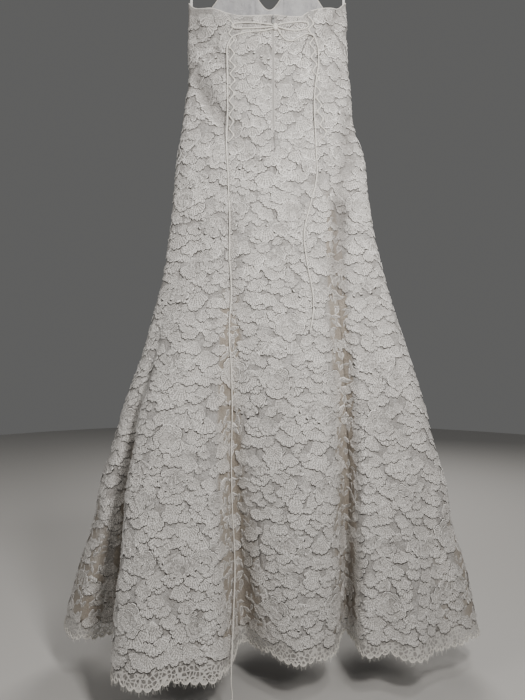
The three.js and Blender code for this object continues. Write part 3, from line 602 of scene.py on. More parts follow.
    def valleys(self, number: Array, height: Array) -> Array:
        """How deep in a valley each place is, from 0 to 1."""
        return self._read(self.valley, np.mod(number, len(FOLDS)), height)

    def shaded_creases(self, number: Array, height: Array) -> Array:
        """How deep in a crease each place is, from 0 to 1: how much painted shade the lace and the net get
        there.
        """
        return self._read(self.shaded_crease, np.mod(number, len(FOLDS)), height)

    def across(self, number: Array, height: Array, distance: Array) -> Array:
        """The fold number at a distance along the cloth, level with the start.

        Args:
            number: where each step starts.
            height: its level.
            distance: how far it goes round the gown.

        Returns:
            Fold numbers, found by halving the range in which the length along the cloth is reached.
        """
        count = len(FOLDS)
        round_it = self._read(self.length, np.full_like(height, count), height)
        wanted = self._read(self.length, np.mod(number, count), height) + distance
        turns = np.floor(wanted / round_it)
        wanted = wanted - turns * round_it
        low = np.zeros_like(wanted)
        high = np.full_like(wanted, float(count))
        for _ in range(HALVINGS):
            middle = (low + high) / 2
            short = self._read(self.length, middle, height) < wanted
            low = np.where(short, middle, low)
            high = np.where(short, high, middle)
        return (low + high) / 2 + turns * count

    def lengths(self, number: Array, height: Array) -> Array:
        """The length along the cloth from the left side seam to each fold number, at its level."""
        return self._read(self.length, number, height)

    def girth(self, height: float) -> float:
        """The length once round the gown at a height."""
        return float(self._read(self.length, np.array(float(len(FOLDS))), np.array(float(height))))

    def number_of_turn(self, turn: Array) -> Array:
        """The fold number of a turn on the bodice."""
        return np.interp(turn, self.turns, np.arange(len(self.turns)))

    def top(self, number: Array) -> Array:
        """The top edge's height at a fold number."""
        turn = np.interp(np.mod(number, len(FOLDS)), np.arange(len(self.turns)), self.turns)
        return self.top_curve(turn)

    def seam(self, index: int, height: Array) -> Array:
        """A seam's line: by its turns on the bodice, and by its fold towards the hem.

        Args:
            index: which seam, counted from the left side over the back.
            height: heights.

        Returns:
            The seam's fold number at each height.
        """
        row = SEAMS[index]
        up = (np.clip(height, WAIST_HEIGHT, BODICE_TOP) - WAIST_HEIGHT) / (BODICE_TOP - WAIST_HEIGHT)
        turn = row.waist + (row.top - row.waist) * up
        share = smoothstep(height, SEAM_SETTLED, SEAM_TURNS_BELOW)
        return row.fold + (self.number_of_turn(turn) - row.fold) * share

    def seam_top(self, index: int) -> float:
        """The top edge's height at a seam."""
        return float(self.top(self.seam(index, BODICE_TOP)))


# Meshes

STEPS_PER_POINT = 32  # samples from one given point of a smooth line to the next
BACKWARD, UPWARD, SIDEWAYS = (0.0, -1.0, 0.0), (0.0, 0.0, 1.0), (1.0, 0.0, 0.0)


def grid_faces(rows: int, columns: int) -> Array:
    """Four-cornered faces between a grid's neighbours, turned to face out of the gown.

    Args:
        rows: the grid's rows, from the lowest.
        columns: its columns, as they go round the gown.

    Returns:
        Corner numbers, four to a face.
    """
    j, i = np.meshgrid(np.arange(rows - 1), np.arange(columns - 1), indexing="ij")
    first = j * columns + i
    return np.stack([first, first + 1, first + columns + 1, first + columns], axis=-1).reshape(-1, 4)


def many_grids(count: int, rows: int, columns: int) -> Array:
    """Faces for many grids of one size, whose corners follow one another."""
    starts = np.arange(count)[:, None, None] * rows * columns
    return (grid_faces(rows, columns)[None] + starts).reshape(-1, 4)


def closed_wall(outer: Array, inner: Array) -> tuple[Array, Array, int]:
    """Joins two grids of points into one wall, closed along its four edges.

    Args:
        outer: rows of points of the outer face.
        inner: as many of the inner face.

    Returns:
        Points, faces, and how many of the faces are the outer face's, which come first.
    """
    rows, columns = outer.shape[:2]
    size = rows * columns
    face = grid_faces(rows, columns)
    ring = np.concatenate([
        np.arange(columns),
        np.arange(1, rows) * columns + columns - 1,
        (rows - 1) * columns + np.arange(columns - 2, -1, -1),
        np.arange(rows - 2, 0, -1) * columns,
    ])
    after = np.roll(ring, -1)
    rim = np.stack([after, ring, ring + size, after + size], axis=-1)
    points = np.vstack([outer.reshape(-1, 3), inner.reshape(-1, 3)])
    return points, np.vstack([face, face[:, ::-1] + size, rim]), len(face)


def make_piece(
    name: str,
    points: Array,
    faces: Array,
    finish: "Finish",
    uv: Array | None = None,
    values: dict[str, Array] | None = None,
    body: str = BODY,
) -> Piece:
    """Makes a mesh object from whole arrays, and lets it ride on its body.

    Args:
        name: the piece's name.
        points: x, y and height of each corner, in millimetres.
        faces: corner numbers, four to a face.
        finish: its finish.
        uv: a place on the cloth for each corner.
        values: a number for each corner, by attribute name.
        body: the CAD body that it moves with.

    Returns:
        The new object.
    """
    mesh = bpy.data.meshes.new(name)
    corners = to_row(points.reshape(-1, 3))
    loops = faces.reshape(-1)
    mesh.vertices.add(len(corners))
    mesh.vertices.foreach_set("co", corners.astype(np.float32).reshape(-1))
    mesh.loops.add(len(loops))
    mesh.loops.foreach_set("vertex_index", loops.astype(np.int32))
    mesh.polygons.add(len(faces))
    mesh.polygons.foreach_set("loop_start", np.arange(0, len(loops), faces.shape[1], dtype=np.int32))
    mesh.polygons.foreach_set("use_smooth", np.ones(len(faces), bool))
    mesh.update(calc_edges=True)
    if uv is not None:
        layer = mesh.uv_layers.new(name="cloth")
        layer.data.foreach_set("uv", uv.reshape(-1, 2)[loops].astype(np.float32).reshape(-1))
    for key, numbers in (values or {}).items():
        attribute = mesh.attributes.new(key, "FLOAT", "POINT")
        attribute.data.foreach_set("value", np.broadcast_to(numbers, len(corners)).astype(np.float32))
    mesh.validate()
    mesh.materials.append(MATERIALS[finish])
    piece = bpy.data.objects.new(name, mesh)
    bpy.context.scene.collection.objects.link(piece)
    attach(piece, body)
    log.info("%s: %d faces", name, len(faces))
    return piece


def run_along(line: Array) -> Array:
    """The length along a line from its first point to each of its points."""
    return np.concatenate([[0.0], np.cumsum(np.linalg.norm(np.diff(line, axis=0), axis=1))])


def centripetal(points: Array, count: int) -> Array:
    """A smooth line through given points, sampled at equal steps along it.

    Between two points it is a cubic whose slopes come from the neighbours, weighted by the square roots
    of the distances between them.

    Args:
        points: the points, one to a row.
        count: how many samples to return.

    Returns:
        The samples, one to a row.
    """
    p = np.vstack([2 * points[0] - points[1], points, 2 * points[-1] - points[-2]])
    gap = np.linalg.norm(np.diff(p, axis=0), axis=1) ** 0.5
    before, here, after = gap[:-2, None], gap[1:-1, None], gap[2:, None]
    p0, p1, p2, p3 = p[:-3], p[1:-2], p[2:-1], p[3:]
    leave = ((p1 - p0) / before - (p2 - p0) / (before + here) + (p2 - p1) / here) * here
    arrive = ((p2 - p1) / here - (p3 - p1) / (here + after) + (p3 - p2) / after) * here
    s = np.linspace(0.0, 1.0, STEPS_PER_POINT + 1)[:-1][None, :, None]
    rise = (p2 - p1)[:, None]
    leave, arrive = leave[:, None], arrive[:, None]
    line = p1[:, None] + s * (leave + s * (3 * rise - 2 * leave - arrive + s * (leave + arrive - 2 * rise)))
    line = np.vstack([line.reshape(-1, 3), points[-1]])
    run = run_along(line)
    even = np.linspace(0.0, run[-1], count)
    return np.stack([np.interp(even, run, line[:, k]) for k in range(3)], axis=-1)


def line_length(line: Array) -> float:
    """The length of a line of points."""
    return float(np.linalg.norm(np.diff(line, axis=0), axis=1).sum())


@dataclass
class Tube:
    """A round or oval profile carried along a line."""

    line: Array
    across: float
    deep: float
    sides: int = 10
    upright: Point = BACKWARD

    def build(self) -> tuple[Array, Array, Array]:
        """Carries the profile along the line.

        At each sample the profile's second axis is the upright with its part along the line taken away,
        and its first axis is square to both. Each end is closed by a ring shrunk to its middle.

        Returns:
            Points, faces and a place for each point: millimetres along, and the share of a turn round.
        """
        line = np.vstack([self.line[:1], self.line, self.line[-1:]])
        size = np.ones(len(line))
        size[[0, -1]] = 0.0
        ahead = np.gradient(self.line, axis=0)
        ahead = unit(np.vstack([ahead[:1], ahead, ahead[-1:]]))
        upright = np.array(self.upright)
        up = unit(upright - (ahead @ upright)[:, None] * ahead)
        side = np.cross(up, ahead)
        turn = np.linspace(0.0, 2 * np.pi, self.sides + 1)
        ring = side[:, None] * (self.across / 2 * np.cos(turn))[None, :, None]
        ring = ring + up[:, None] * (self.deep / 2 * np.sin(turn))[None, :, None]
        points = line[:, None] + ring * size[:, None, None]
        places = together(run_along(line)[:, None], turn / (2 * np.pi))
        return points, grid_faces(len(line), self.sides + 1), places

    def piece(self, name: str, finish: "Finish", slot: str) -> Piece:
        """Makes the tube a piece of its own."""
        points, faces, places = self.build()
        return make_piece(name, points, faces, finish, uv=places)


def joined(parts: list[tuple[Array, Array, Array]]) -> tuple[Array, Array, Array]:
    """Joins several meshes into one.

    Args:
        parts: the points, faces and places of each.

    Returns:
        All points, all faces and all places.
    """
    points, faces, places, start = [], [], [], 0
    for part_points, part_faces, part_places in parts:
        flat = part_points.reshape(-1, 3)
        points.append(flat)
        faces.append(part_faces + start)
        places.append(part_places.reshape(len(flat), -1))
        start += len(flat)
    return np.vstack(points), np.vstack(faces), np.vstack(places)


# Finishes


class Value:
    """A number socket, so that shader maths reads as an expression."""

    def __init__(self, graph: "Graph", socket: bpy.types.NodeSocket) -> None:
        """Keeps the socket and the graph that it belongs to."""
        self.graph = graph
        self.socket = socket

    def _with(self, operation: str, *others: "Value | float") -> "Value":
        """Adds one Math node."""
        return self.graph.maths(operation, self, *others)

    def __add__(self, other: "Value | float") -> "Value":
        """Sum."""
        return self._with("ADD", other)

    __radd__ = __add__

    def __sub__(self, other: "Value | float") -> "Value":
        """Difference."""
        return self._with("SUBTRACT", other)

    def __rsub__(self, other: float) -> "Value":
        """Difference from a number."""
        return self.graph.maths("SUBTRACT", other, self)

    def __mul__(self, other: "Value | float") -> "Value":
        """Product."""
        return self._with("MULTIPLY", other)

    __rmul__ = __mul__

    def __truediv__(self, other: "Value | float") -> "Value":
        """Quotient."""
        return self._with("DIVIDE", other)

    def sine(self) -> "Value":
        """Sine of an angle in radians."""
        return self._with("SINE")

    def wave(self) -> "Value":
        """A wave between 0 and 1, from an angle in radians."""
        return self.sine() * 0.5 + 0.5

    def size(self) -> "Value":
        """The value without its sign."""
        return self._with("ABSOLUTE")

    def least(self, other: "Value | float") -> "Value":
        """The smaller of two."""
        return self._with("MINIMUM", other)

    def most(self, other: "Value | float") -> "Value":
        """The larger of two."""
        return self._with("MAXIMUM", other)

    def step(self, low: float, high: float) -> "Value":
        """A soft step from 0 at low to 1 at high, or the other way round where low is the larger."""
        node = self.graph.node("ShaderNodeMapRange", {"interpolation_type": "SMOOTHSTEP"},
                               {"Value": self, "From Min": low, "From Max": high})
        return Value(self.graph, node.outputs["Result"])


class Graph:
    """One material's nodes."""

    def __init__(self, name: str) -> None:
        """Starts a material that holds only its shader and its output.

        Args:
            name: the material's name.
        """
        self.material = bpy.data.materials.new(name)
        self.material.use_nodes = True
        self.tree = self.material.node_tree
        self.shader = self.tree.nodes["Principled BSDF"]

    def node(self, kind: str, settings: dict | None = None, sockets: dict | None = None) -> bpy.types.Node:
        """Adds a node.

        Args:
            kind: the node's type.
            settings: what to set on the node itself, before its sockets.
            sockets: a number, colour, vector, socket or Value for each input, by name or place.

        Returns:
            The node.
        """
        node = self.tree.nodes.new(kind)
        for key, setting in (settings or {}).items():
            setattr(node, key, setting)
        for key, value in (sockets or {}).items():
            self.feed(node.inputs[key], value)
        return node

    def feed(self, socket: bpy.types.NodeSocket, value: object) -> None:
        """Links or sets one socket.

        Args:
            socket: an input.
            value: a Value or an output to link, or else a number, a colour or a vector to set.
        """
        if isinstance(value, Value):
            value = value.socket
        if isinstance(value, bpy.types.NodeSocket):
            self.tree.links.new(value, socket)
        else:
            socket.default_value = value

    def maths(self, operation: str, *values: "Value | float") -> Value:
        """Adds a Math node."""
        node = self.node("ShaderNodeMath", {"operation": operation}, dict(enumerate(values)))
        return Value(self, node.outputs[0])

    def mix(self, share: "Value | float", first: object, second: object) -> bpy.types.NodeSocket:
        """Mixes two colours."""
        node = self.node("ShaderNodeMix", {"data_type": "RGBA"}, {0: share, 6: first, 7: second})
        return node.outputs[2]

    def attribute(self, name: str) -> Value:
        """A number kept on the mesh's corners."""
        node = self.node("ShaderNodeAttribute", {"attribute_name": name})
        return Value(self, node.outputs["Fac"])

    def cloth(self) -> tuple[Value, Value]:
        """Reads the piece's own map.

        Returns:
            Its first and its second place.
        """
        mapped = {0: self.node("ShaderNodeUVMap", {"uv_map": "cloth"}).outputs[0]}
        parts = self.node("ShaderNodeSeparateXYZ", None, mapped).outputs
        return Value(self, parts[0]), Value(self, parts[1])

    def place(self) -> bpy.types.NodeSocket:
        """The point on the object, in metres."""
        return self.node("ShaderNodeTexCoord").outputs["Object"]

    def noise(self, scale: float, detail: float = 3.0, rough: float = 0.55) -> Value:
        """Soft noise over the object, about 1/scale metres from one swell to the next."""
        sockets = {"Vector": self.place(), "Scale": scale, "Detail": detail, "Roughness": rough}
        return Value(self, self.node("ShaderNodeTexNoise", None, sockets).outputs[0])

    def cells(self, scale: float, loose: float) -> Value:
        """The distance from the edges of uneven cells, each about 1/scale metres across."""
        node = self.node("ShaderNodeTexVoronoi", {"feature": "DISTANCE_TO_EDGE"},
                         {"Vector": self.place(), "Scale": scale, "Randomness": loose})
        return Value(self, node.outputs[0])

    def bump(self, height: Value, distance: float, strength: float) -> None:
        """Feeds a relief to the shader's normal."""
        node = self.node("ShaderNodeBump", None,
                         {"Height": height, "Distance": distance, "Strength": strength})
        self.feed(self.shader.inputs["Normal"], node.outputs[0])

    def finish(self, **sockets: object) -> Material:
        """Feeds the shader's own sockets.

        Args:
            sockets: what each takes, by its name with underscores for spaces.

        Returns:
            The material.
        """
        for key, value in sockets.items():
            self.feed(self.shader.inputs[key.replace("_", " ")], value)
        return self.material


Colour = tuple[float, float, float, float]
VALLEY_PAINTED_SHADE = 0.9  # how much of the painted warm valley shade the deepest place takes
CREASE_PAINTED_SHADE = 0.55  # how much of the painted crease shade the deepest crease takes


@dataclass(frozen=True)
class LaceFinish:
    """Corded lace: dense ribbed thread with small openings, a pale cord painted brighter still as a
    highlight, and a painted shadow round each petal's edge.

    The waves are radians of pattern over a petal's own map, and the grains are scales of noise.
    """

    thread: Colour = (0.66, 0.637, 0.613, 1.0)
    # the cord's colour: a paler yarn, painted brighter still as a highlight
    cord: Colour = (0.97, 0.95, 0.92, 1.0)
    gap: Colour = (0.20, 0.187, 0.173, 1.0)
    # the openings' ground in the valleys: painted warm shade
    valley_shade: Colour = (0.34, 0.29, 0.235, 1.0)
    # the shadow painted in a thin band round each petal's edge
    net: Colour = (0.06, 0.054, 0.048, 1.0)
    # that painted shadow band in the valleys, lightened and warmed by the painted valley shade
    valley_edge_shadow: Colour = (0.17, 0.14, 0.108, 1.0)
    # the shade painted into deep creases
    shaded_crease: Colour = (0.20, 0.185, 0.175, 1.0)
    rib_waves: float = 62.0
    row_waves: float = 40.0
    fine_grain: float = 430.0
    broad_grain: float = 60.0
    glint_grain: float = 620.0

    def build(self) -> Material:
        """Colour and relief run on each petal's own map: across it, and from its root to its edge.

        Returns:
            The material.
        """
        g = Graph("corded_lace")
        across, out = g.cloth()
        ribs = (across * self.rib_waves).wave()
        valley = g.attribute("valley")
        sides = (across - 0.5).size().step(0.30, 0.38) * g.attribute("leaf") * (valley * 0.6 + 0.4).least(1.0)
        rim = (out.step(0.865, 0.885) * out.step(0.94, 0.925)).most(sides)
        # painted shadow: a thin band just past each petal's cord
        edge_shadow_band = out.step(0.93, 0.94)
        infill = g.noise(self.fine_grain, 2.0)
        broad = g.noise(self.broad_grain, 2.0)
        # painted glints: small bright spots of noise on the thread
        painted_glints = g.noise(self.glint_grain, 1.0).step(0.60, 0.68)
        rows = (out * self.row_waves + infill * 4.0).wave()
        threads = ribs * 0.20 + infill * 0.68 + rows * 0.12
        openness = (1.0 - threads.step(0.42, 0.55)) * (1.0 - rim) * out.step(0.0, 0.2)
        # painted warm shade in the valleys' openings
        ground = g.mix(valley * VALLEY_PAINTED_SHADE, self.gap, self.valley_shade)
        # the cord's painted highlight, random tone and the painted glints
        bright = rim * 0.8 + g.attribute("tone") * 0.30 + broad.step(0.42, 0.65) * 0.2 + painted_glints * 0.5
        solid = g.mix(bright.least(1.0), self.thread, self.cord)
        colour = g.mix(openness * 0.74, solid, ground)
        # the painted edge shadow, warmer in the valleys
        around = g.mix(valley * VALLEY_PAINTED_SHADE, self.net, self.valley_edge_shadow)
        colour = g.mix(edge_shadow_band * (1.0 - sides), colour, around)
        # painted shade: the deeper the crease, the darker the lace
        colour = g.mix(g.attribute("shaded_crease") * CREASE_PAINTED_SHADE, colour, self.shaded_crease)
        g.bump(threads.step(0.3, 0.7) * 0.7 * (1.0 - rim) + rim - edge_shadow_band, 0.001, 1.0)
        return g.finish(Base_Color=colour, Roughness=0.6 - rim * 0.2, Sheen_Weight=0.1)


@dataclass(frozen=True)
class NetFinish:
    """Fine net over satin: it shows between the lace's flowers."""

    satin: Colour = (0.64, 0.625, 0.61, 1.0)
    net: Colour = (0.33, 0.312, 0.295, 1.0)
    # the valleys' painted warm shade, from its darkest to its palest
    valley_shade: Colour = (0.33, 0.28, 0.225, 1.0)
    valley_warm_shade: Colour = (0.47, 0.42, 0.36, 1.0)
    # the shade painted into deep creases
    shaded_crease: Colour = (0.20, 0.185, 0.175, 1.0)
    hole_grain: float = 560.0
    patch_grain: float = 42.0
    thread_grain: float = 430.0

    def build(self) -> Material:
        """The net's holes are cells about 1.8 mm across, and the valleys get a painted warm shade.

        Returns:
            The material.
        """
        g = Graph("net_over_satin")
        holes = g.cells(self.hole_grain, 0.6).step(0.04, 0.22)
        patches = g.noise(self.patch_grain, 4.0)
        valley = g.attribute("valley").step(0.0, 0.35)
        threads = g.noise(self.thread_grain, 2.0).step(0.44, 0.58)
        colour = g.mix(patches.step(0.42, 0.62) * 0.3 + holes * 0.2 + threads * 0.5, self.net, self.satin)
        # painted warm shade in the valleys, mottled by the holes and the patches
        valley_warm_shade = g.mix(holes * 0.5 + patches.step(0.4, 0.65) * 0.4, self.valley_shade, self.valley_warm_shade)
        colour = g.mix(valley * VALLEY_PAINTED_SHADE, colour, valley_warm_shade)
        # painted shade: the deeper the crease, the darker the net
        colour = g.mix(g.attribute("shaded_crease") * CREASE_PAINTED_SHADE, colour, self.shaded_crease)
        g.bump(threads - holes * 0.5, 0.0006, 1.0)
        return g.finish(Base_Color=colour, Roughness=0.7 - patches * 0.2, Sheen_Weight=0.1)


@dataclass(frozen=True)
class HemFinish:
    """Open lace below the satin: solid where it is sewn dense, and see-through net between."""

    thread: Colour = (0.62, 0.60, 0.57, 1.0)
    net: Colour = (0.34, 0.32, 0.30, 1.0)
    bar_grain: float = 120.0
    net_grain: float = 520.0

    def build(self) -> Material:
        """Bars run between irregular openings, and each opening is filled with fine net.

        Returns:
            The material.
        """
        g = Graph("open_lace")
        bar = g.cells(self.bar_grain, 0.9).step(0.16, 0.09)
        mesh = g.cells(self.net_grain, 0.5).step(0.14, 0.08)
        up = g.cloth()[1]
        dense = up.step(33.0, 41.0).most(up.step(9.0, 4.0))
        alpha = bar.most(mesh).most(dense)
        colour = g.mix(bar.most(dense), self.net, self.thread)
        g.bump(bar, 0.0005, 0.7)
        return g.finish(Base_Color=colour, Roughness=0.75, Alpha=alpha)


@dataclass(frozen=True)
class SatinFinish:
    """Smooth satin with a soft sheen and a faint weave."""

    name: str = "white_satin"
    colour: Colour = (0.60, 0.60, 0.61, 1.0)
    shade: Colour = (0.46, 0.46, 0.48, 1.0)

    def build(self) -> Material:
        """Soft puckers with painted shade in their troughs, and a fine bump of threads.

        Returns:
            The material.
        """
        g = Graph(self.name)
        folds = g.noise(34.0, 3.0).step(0.3, 0.7)
        weave = g.node("ShaderNodeTexWave", {"bands_direction": "Z"}, {"Vector": g.place(), "Scale": 900.0})
        fine = Value(g, weave.outputs["Fac"])
        g.bump(folds * 5.0 + fine * 0.15, 0.0008, 0.8)
        # painted shade: the puckers' troughs take the shade colour
        colour = g.mix(folds, self.shade, self.colour)
        return g.finish(Base_Color=colour, Roughness=0.34 + fine * 0.06, Sheen_Weight=0.2)


@dataclass(frozen=True)
class CordFinish:
    """A twisted satin cord."""

    name: str = "satin_cord"
    colour: Colour = (0.95, 0.925, 0.87, 1.0)
    # the shade painted into the grooves between the strands
    groove: Colour = (0.70, 0.665, 0.60, 1.0)
    pitch: float = 2.6

    def build(self) -> Material:
        """Strands wind round the cord, with painted shade in the grooves where the place along and the turn
        round add up.

        Returns:
            The material.
        """
        g = Graph(self.name)
        along, turn = g.cloth()
        strand = ((along / self.pitch + turn * 2.0) * (2 * math.pi)).wave()
        fray = g.noise(900.0, 2.0)
        colour = g.mix(strand.step(0.05, 0.45) * 0.85 + fray * 0.15, self.groove, self.colour)
        g.bump(strand + fray * 0.2, 0.0004, 0.8)
        return g.finish(Base_Color=colour, Roughness=0.42 + fray * 0.15, Sheen_Weight=0.2)


@dataclass(frozen=True)
class RibbonFinish:
    """Narrow woven satin ribbon."""

    colour: Colour = (0.80, 0.79, 0.77, 1.0)
    edge: Colour = (0.68, 0.67, 0.65, 1.0)

    def build(self) -> Material:
        """Fine ribs cross the ribbon, and its two edges are a little darker.

        Returns:
            The material.
        """
        g = Graph("satin_ribbon")
        along, across = g.cloth()
        ribs = (along * 9.0).wave()
        edges = (across - 0.5).size().step(0.38, 0.47)
        colour = g.mix(edges * 0.7 + ribs * 0.12, self.colour, self.edge)
        g.bump(ribs * 0.5 - edges, 0.0002, 0.6)
        return g.finish(Base_Color=colour, Roughness=0.36 + edges * 0.2, Sheen_Weight=0.2)


@dataclass(frozen=True)
class WoodFinish:
    """Pale varnished wood with its grain along the bar."""

    light: Colour = (0.55, 0.37, 0.20, 1.0)
    dark: Colour = (0.33, 0.19, 0.09, 1.0)
    stretch: Point = (2.0, 30.0, 30.0)

    def build(self) -> Material:
        """Rings stretched along X, with fine dark pores.

        Returns:
            The material.
        """
        g = Graph("varnished_wood")
        stretched = g.node("ShaderNodeMapping", None, {"Vector": g.place(), "Scale": self.stretch})
        rings = g.node("ShaderNodeTexNoise", None,
                       {"Vector": stretched.outputs[0], "Scale": 3.0, "Detail": 6.0, "Distortion": 0.8})
        pores = g.node("ShaderNodeTexNoise", None,
                       {"Vector": stretched.outputs[0], "Scale": 24.0, "Detail": 3.0})
        ring = Value(g, rings.outputs[0])
        pore = Value(g, pores.outputs[0]).step(0.60, 0.72)
        colour = g.mix(ring.step(0.38, 0.62) * 0.75 + pore * 0.25, self.light, self.dark)
        g.bump(ring * 0.4 - pore, 0.0003, 0.4)
        return g.finish(Base_Color=colour, Roughness=0.30 + pore * 0.2, Coat_Weight=0.3)


@dataclass(frozen=True)
class MetalFinish:
    """Bright drawn metal."""

    name: str
    colour: Colour
    rough: float
    mark: Colour = (0.42, 0.42, 0.43, 1.0)

    def build(self) -> Material:
        """Fine marks change the gloss a little.

        Returns:
            The material.
        """
        g = Graph(self.name)
        marks = g.noise(300.0, 5.0)
        g.bump(marks, 0.0001, 0.3)
        colour = g.mix(marks * 0.25, self.colour, self.mark)
        return g.finish(Base_Color=colour, Metallic=1.0, Roughness=marks * 0.2 + self.rough)


@dataclass(frozen=True)
class StripFinish:
    """A woven strip over the hidden zip, with the fold of the seam down its middle."""

    colour: Colour = (0.56, 0.54, 0.52, 1.0)
    fold: Colour = (0.24, 0.225, 0.21, 1.0)

    def build(self) -> Material:
        """A dark line where the two edges meet, small stitches beside it, and a herringbone weave.

        Returns:
            The material.
        """
        g = Graph("woven_strip")
        across, along = g.cloth()
        middle = (across - 0.5).size()
        line = middle.step(0.10, 0.04)
        beside = middle.step(0.26, 0.22) * middle.step(0.14, 0.18)
        stitch = beside * (along * 2.1).sine().step(0.0, 0.4)
        weave = ((along + middle * 6.0) * 5.0).wave()
        colour = g.mix(line * 0.9 + (1.0 - weave) * 0.15, self.colour, self.fold)
        g.bump(weave * 0.4 + stitch - line, 0.0004, 0.8)
        return g.finish(Base_Color=colour, Roughness=0.6 + line * 0.1)


class Finish(Enum):
    """The gown's finishes."""

    LACE = LaceFinish()
    NET = NetFinish()
    HEM = HemFinish()
    SATIN = SatinFinish()
    PLACKET = SatinFinish("placket_satin", (0.48, 0.47, 0.46, 1.0), (0.36, 0.35, 0.34, 1.0))
    CORD = CordFinish()
    RIBBON = RibbonFinish()
    STRIP = StripFinish()
    ZIP_METAL = MetalFinish("zip_metal", (0.46, 0.46, 0.455, 1.0), 0.42)
    HOOK_METAL = MetalFinish("hook_metal", (0.78, 0.78, 0.79, 1.0), 0.12)
    WOOD = WoodFinish()


MATERIALS: dict[Finish, Material] = {}  # each finish's material, which main builds once


# The gown's pieces


@dataclass
class Panel:
    """One cut panel: net and lace ground outside, satin inside, in one wall."""

    gown: GownSurface
    index: int
    spacing: float = 11.0
    valley: Array = field(init=False)
    shaded_crease: Array = field(init=False)
    area: float = field(init=False)
    flat: tuple[float, float] = field(init=False)

    @property
    def name(self) -> str:
        """The panel's CAD node."""
        return PANEL_NAMES[self.index]

    def grid(self, out: float) -> Array:
        """The panel's points, from the satin's hem to the top edge and from seam to seam.

        Args:
            out: how far outside the face, less than nothing for inside.

        Returns:
            Rows of x, y and height.
        """
        wide = self.gown.girth(0.0) / len(FOLDS) * (SEAMS[self.index + 1].fold - SEAMS[self.index].fold)
        columns = int(wide / self.spacing) + 1
        rows = int((BODICE_TOP - BORDER_TOP) / self.spacing) + 1
        share = np.linspace(0.0, 1.0, columns)[None, :]
        rise = np.linspace(0.0, 1.0, rows)[:, None]
        left, right = self.gown.seam(self.index, BODICE_TOP), self.gown.seam(self.index + 1, BODICE_TOP)
        top = self.gown.top(left + (right - left) * share)
        height = BORDER_TOP + TRIM / 2 + (top - BORDER_TOP - TRIM / 2) * rise
        start, end = self.gown.seam(self.index, height), self.gown.seam(self.index + 1, height)
        number = start + (end - start) * share
        trim = np.broadcast_to(TRIM / 2 * ((share == 0).astype(float) - (share == 1)), number.shape)
        number = np.where(trim != 0, self.gown.across(number, height, trim), number)
        self.valley = self.gown.valleys(number, height)
        self.shaded_crease = self.gown.shaded_creases(number, height)
        return self.gown.points(number, height, out)

    def build(self) -> Piece:
        """Makes the wall, and measures its outer face.

        Returns:
            The panel, with net outside and satin inside and along its edges.
        """
        outer, inner = self.grid(0.0), self.grid(-WALL)
        points, faces, outside = closed_wall(outer, inner)
        values = {key: np.tile(getattr(self, key).reshape(-1), 2) for key in ("valley", "shaded_crease")}
        piece = make_piece(self.name + "_cloth", points, faces, Finish.NET, values=values)
        piece.data.materials.append(MATERIALS[Finish.SATIN])
        slots = (np.arange(len(faces)) >= outside).astype(np.int32)
        piece.data.polygons.foreach_set("material_index", slots)
        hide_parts(self.name)
        self.area = cloth_area(outer) * MM * MM
        self.flat = (line_length(outer[0]) * MM, line_length(outer[:, outer.shape[1] // 2]) * MM)
        return piece


def cloth_area(grid: Array) -> float:
    """The area of a grid of points: half the product of the two diagonals of each of its cells."""
    one, two = grid[1:, 1:] - grid[:-1, :-1], grid[1:, :-1] - grid[:-1, 1:]
    return float(np.linalg.norm(np.cross(one, two), axis=-1).sum() / 2)


@dataclass(frozen=True)
class PetalForm:
    """The outline and relief of one kind of petal.

    Cusps are cut back between its scallops, which are ragged by so many millimetres. The lift is its
    rise from root to edge, the cord its edge's own rise, and the tilt how much higher one side stands.
    """

    scallops: int
    cusp: float
    rounding: float
    pointed: float
    lift: float
    cord: float
    tilt: float
    ragged: float = 0.0


class Petal(Enum):
    """The kinds of petal that the lace is made of."""

    FAN = PetalForm(6, 3.3, rounding=0.16, pointed=0.0, lift=1.0, cord=0.85, tilt=0.2, ragged=1.8)
    SMALL_FAN = PetalForm(4, 2.7, rounding=0.18, pointed=0.0, lift=0.8, cord=0.7, tilt=0.3, ragged=1.3)
    ROSE = PetalForm(3, 2.6, rounding=0.26, pointed=0.0, lift=0.8, cord=0.9, tilt=0.6)
    HEART = PetalForm(3, 1.8, rounding=0.24, pointed=0.0, lift=0.7, cord=0.8, tilt=0.5)
    LEAF = PetalForm(1, 0.0, rounding=0.0, pointed=1.0, lift=0.5, cord=0.7, tilt=0.3)
    RIB = PetalForm(1, 0.8, rounding=0.12, pointed=0.45, lift=0.8, cord=0.9, tilt=0.4)


PETAL_ROWS = (0.0, 0.55, 0.87, 0.905, 0.935, 1.0)  # a petal's rows, as shares of its reach
PETAL_CORD = (0.0, 0.0, 0.15, 1.0, 0.0, 0.0)  # the cord's share of its height on each row
PETAL_COLUMNS = ("number", "height", "direction", "root", "tip", "spread", "base", "tone")
LACE_VALUES = ("tone", "valley", "shaded_crease", "leaf")
SHOULDERS = (0.0, 0.28, 0.72)  # a scallop's corners: its cusp and its two shoulders
POINTED_ENDS = (0.03, 0.985)  # a pointed petal is never narrower than at these shares of its reach
TONE_TURNS = 60.0  # radians by which petals of the palest and the darkest tone differ in their scallops
SCALLOP_TURN = 2.4  # and from one scallop of a petal to the next
ROOT_RISES = (-0.1, 0.35)  # shares of its reach between which a petal's root comes up from the cloth
EDGE_OUT = 0.25
EDGE_FALLS = 0.93  # past this share of its reach a petal is only the painted shadow band round it
EDGE_KEEPS = 0.62  # that painted shadow band lies lower than the cord, at this share of its rise
SIDES_FALL = 0.85  # a petal's two sides sink by this share of its rise
LACE_INSIDE = 0.8  # lace ends this far inside the hem's edge and the top edge
LACE_SPAN = (-8.0, 1460.0)  # the heights between which petals are laid
CORD_CLEAR = 2.4
SEAM_CLEAR = {LEFT_LACING: 6.0, ZIP_SEAM: 3.4, RIGHT_LACING: 6.0}
SEAM_CLEAR_FROM = 1052.0
FAR_AWAY = 99.0  # farther from a cord than any lace is pressed


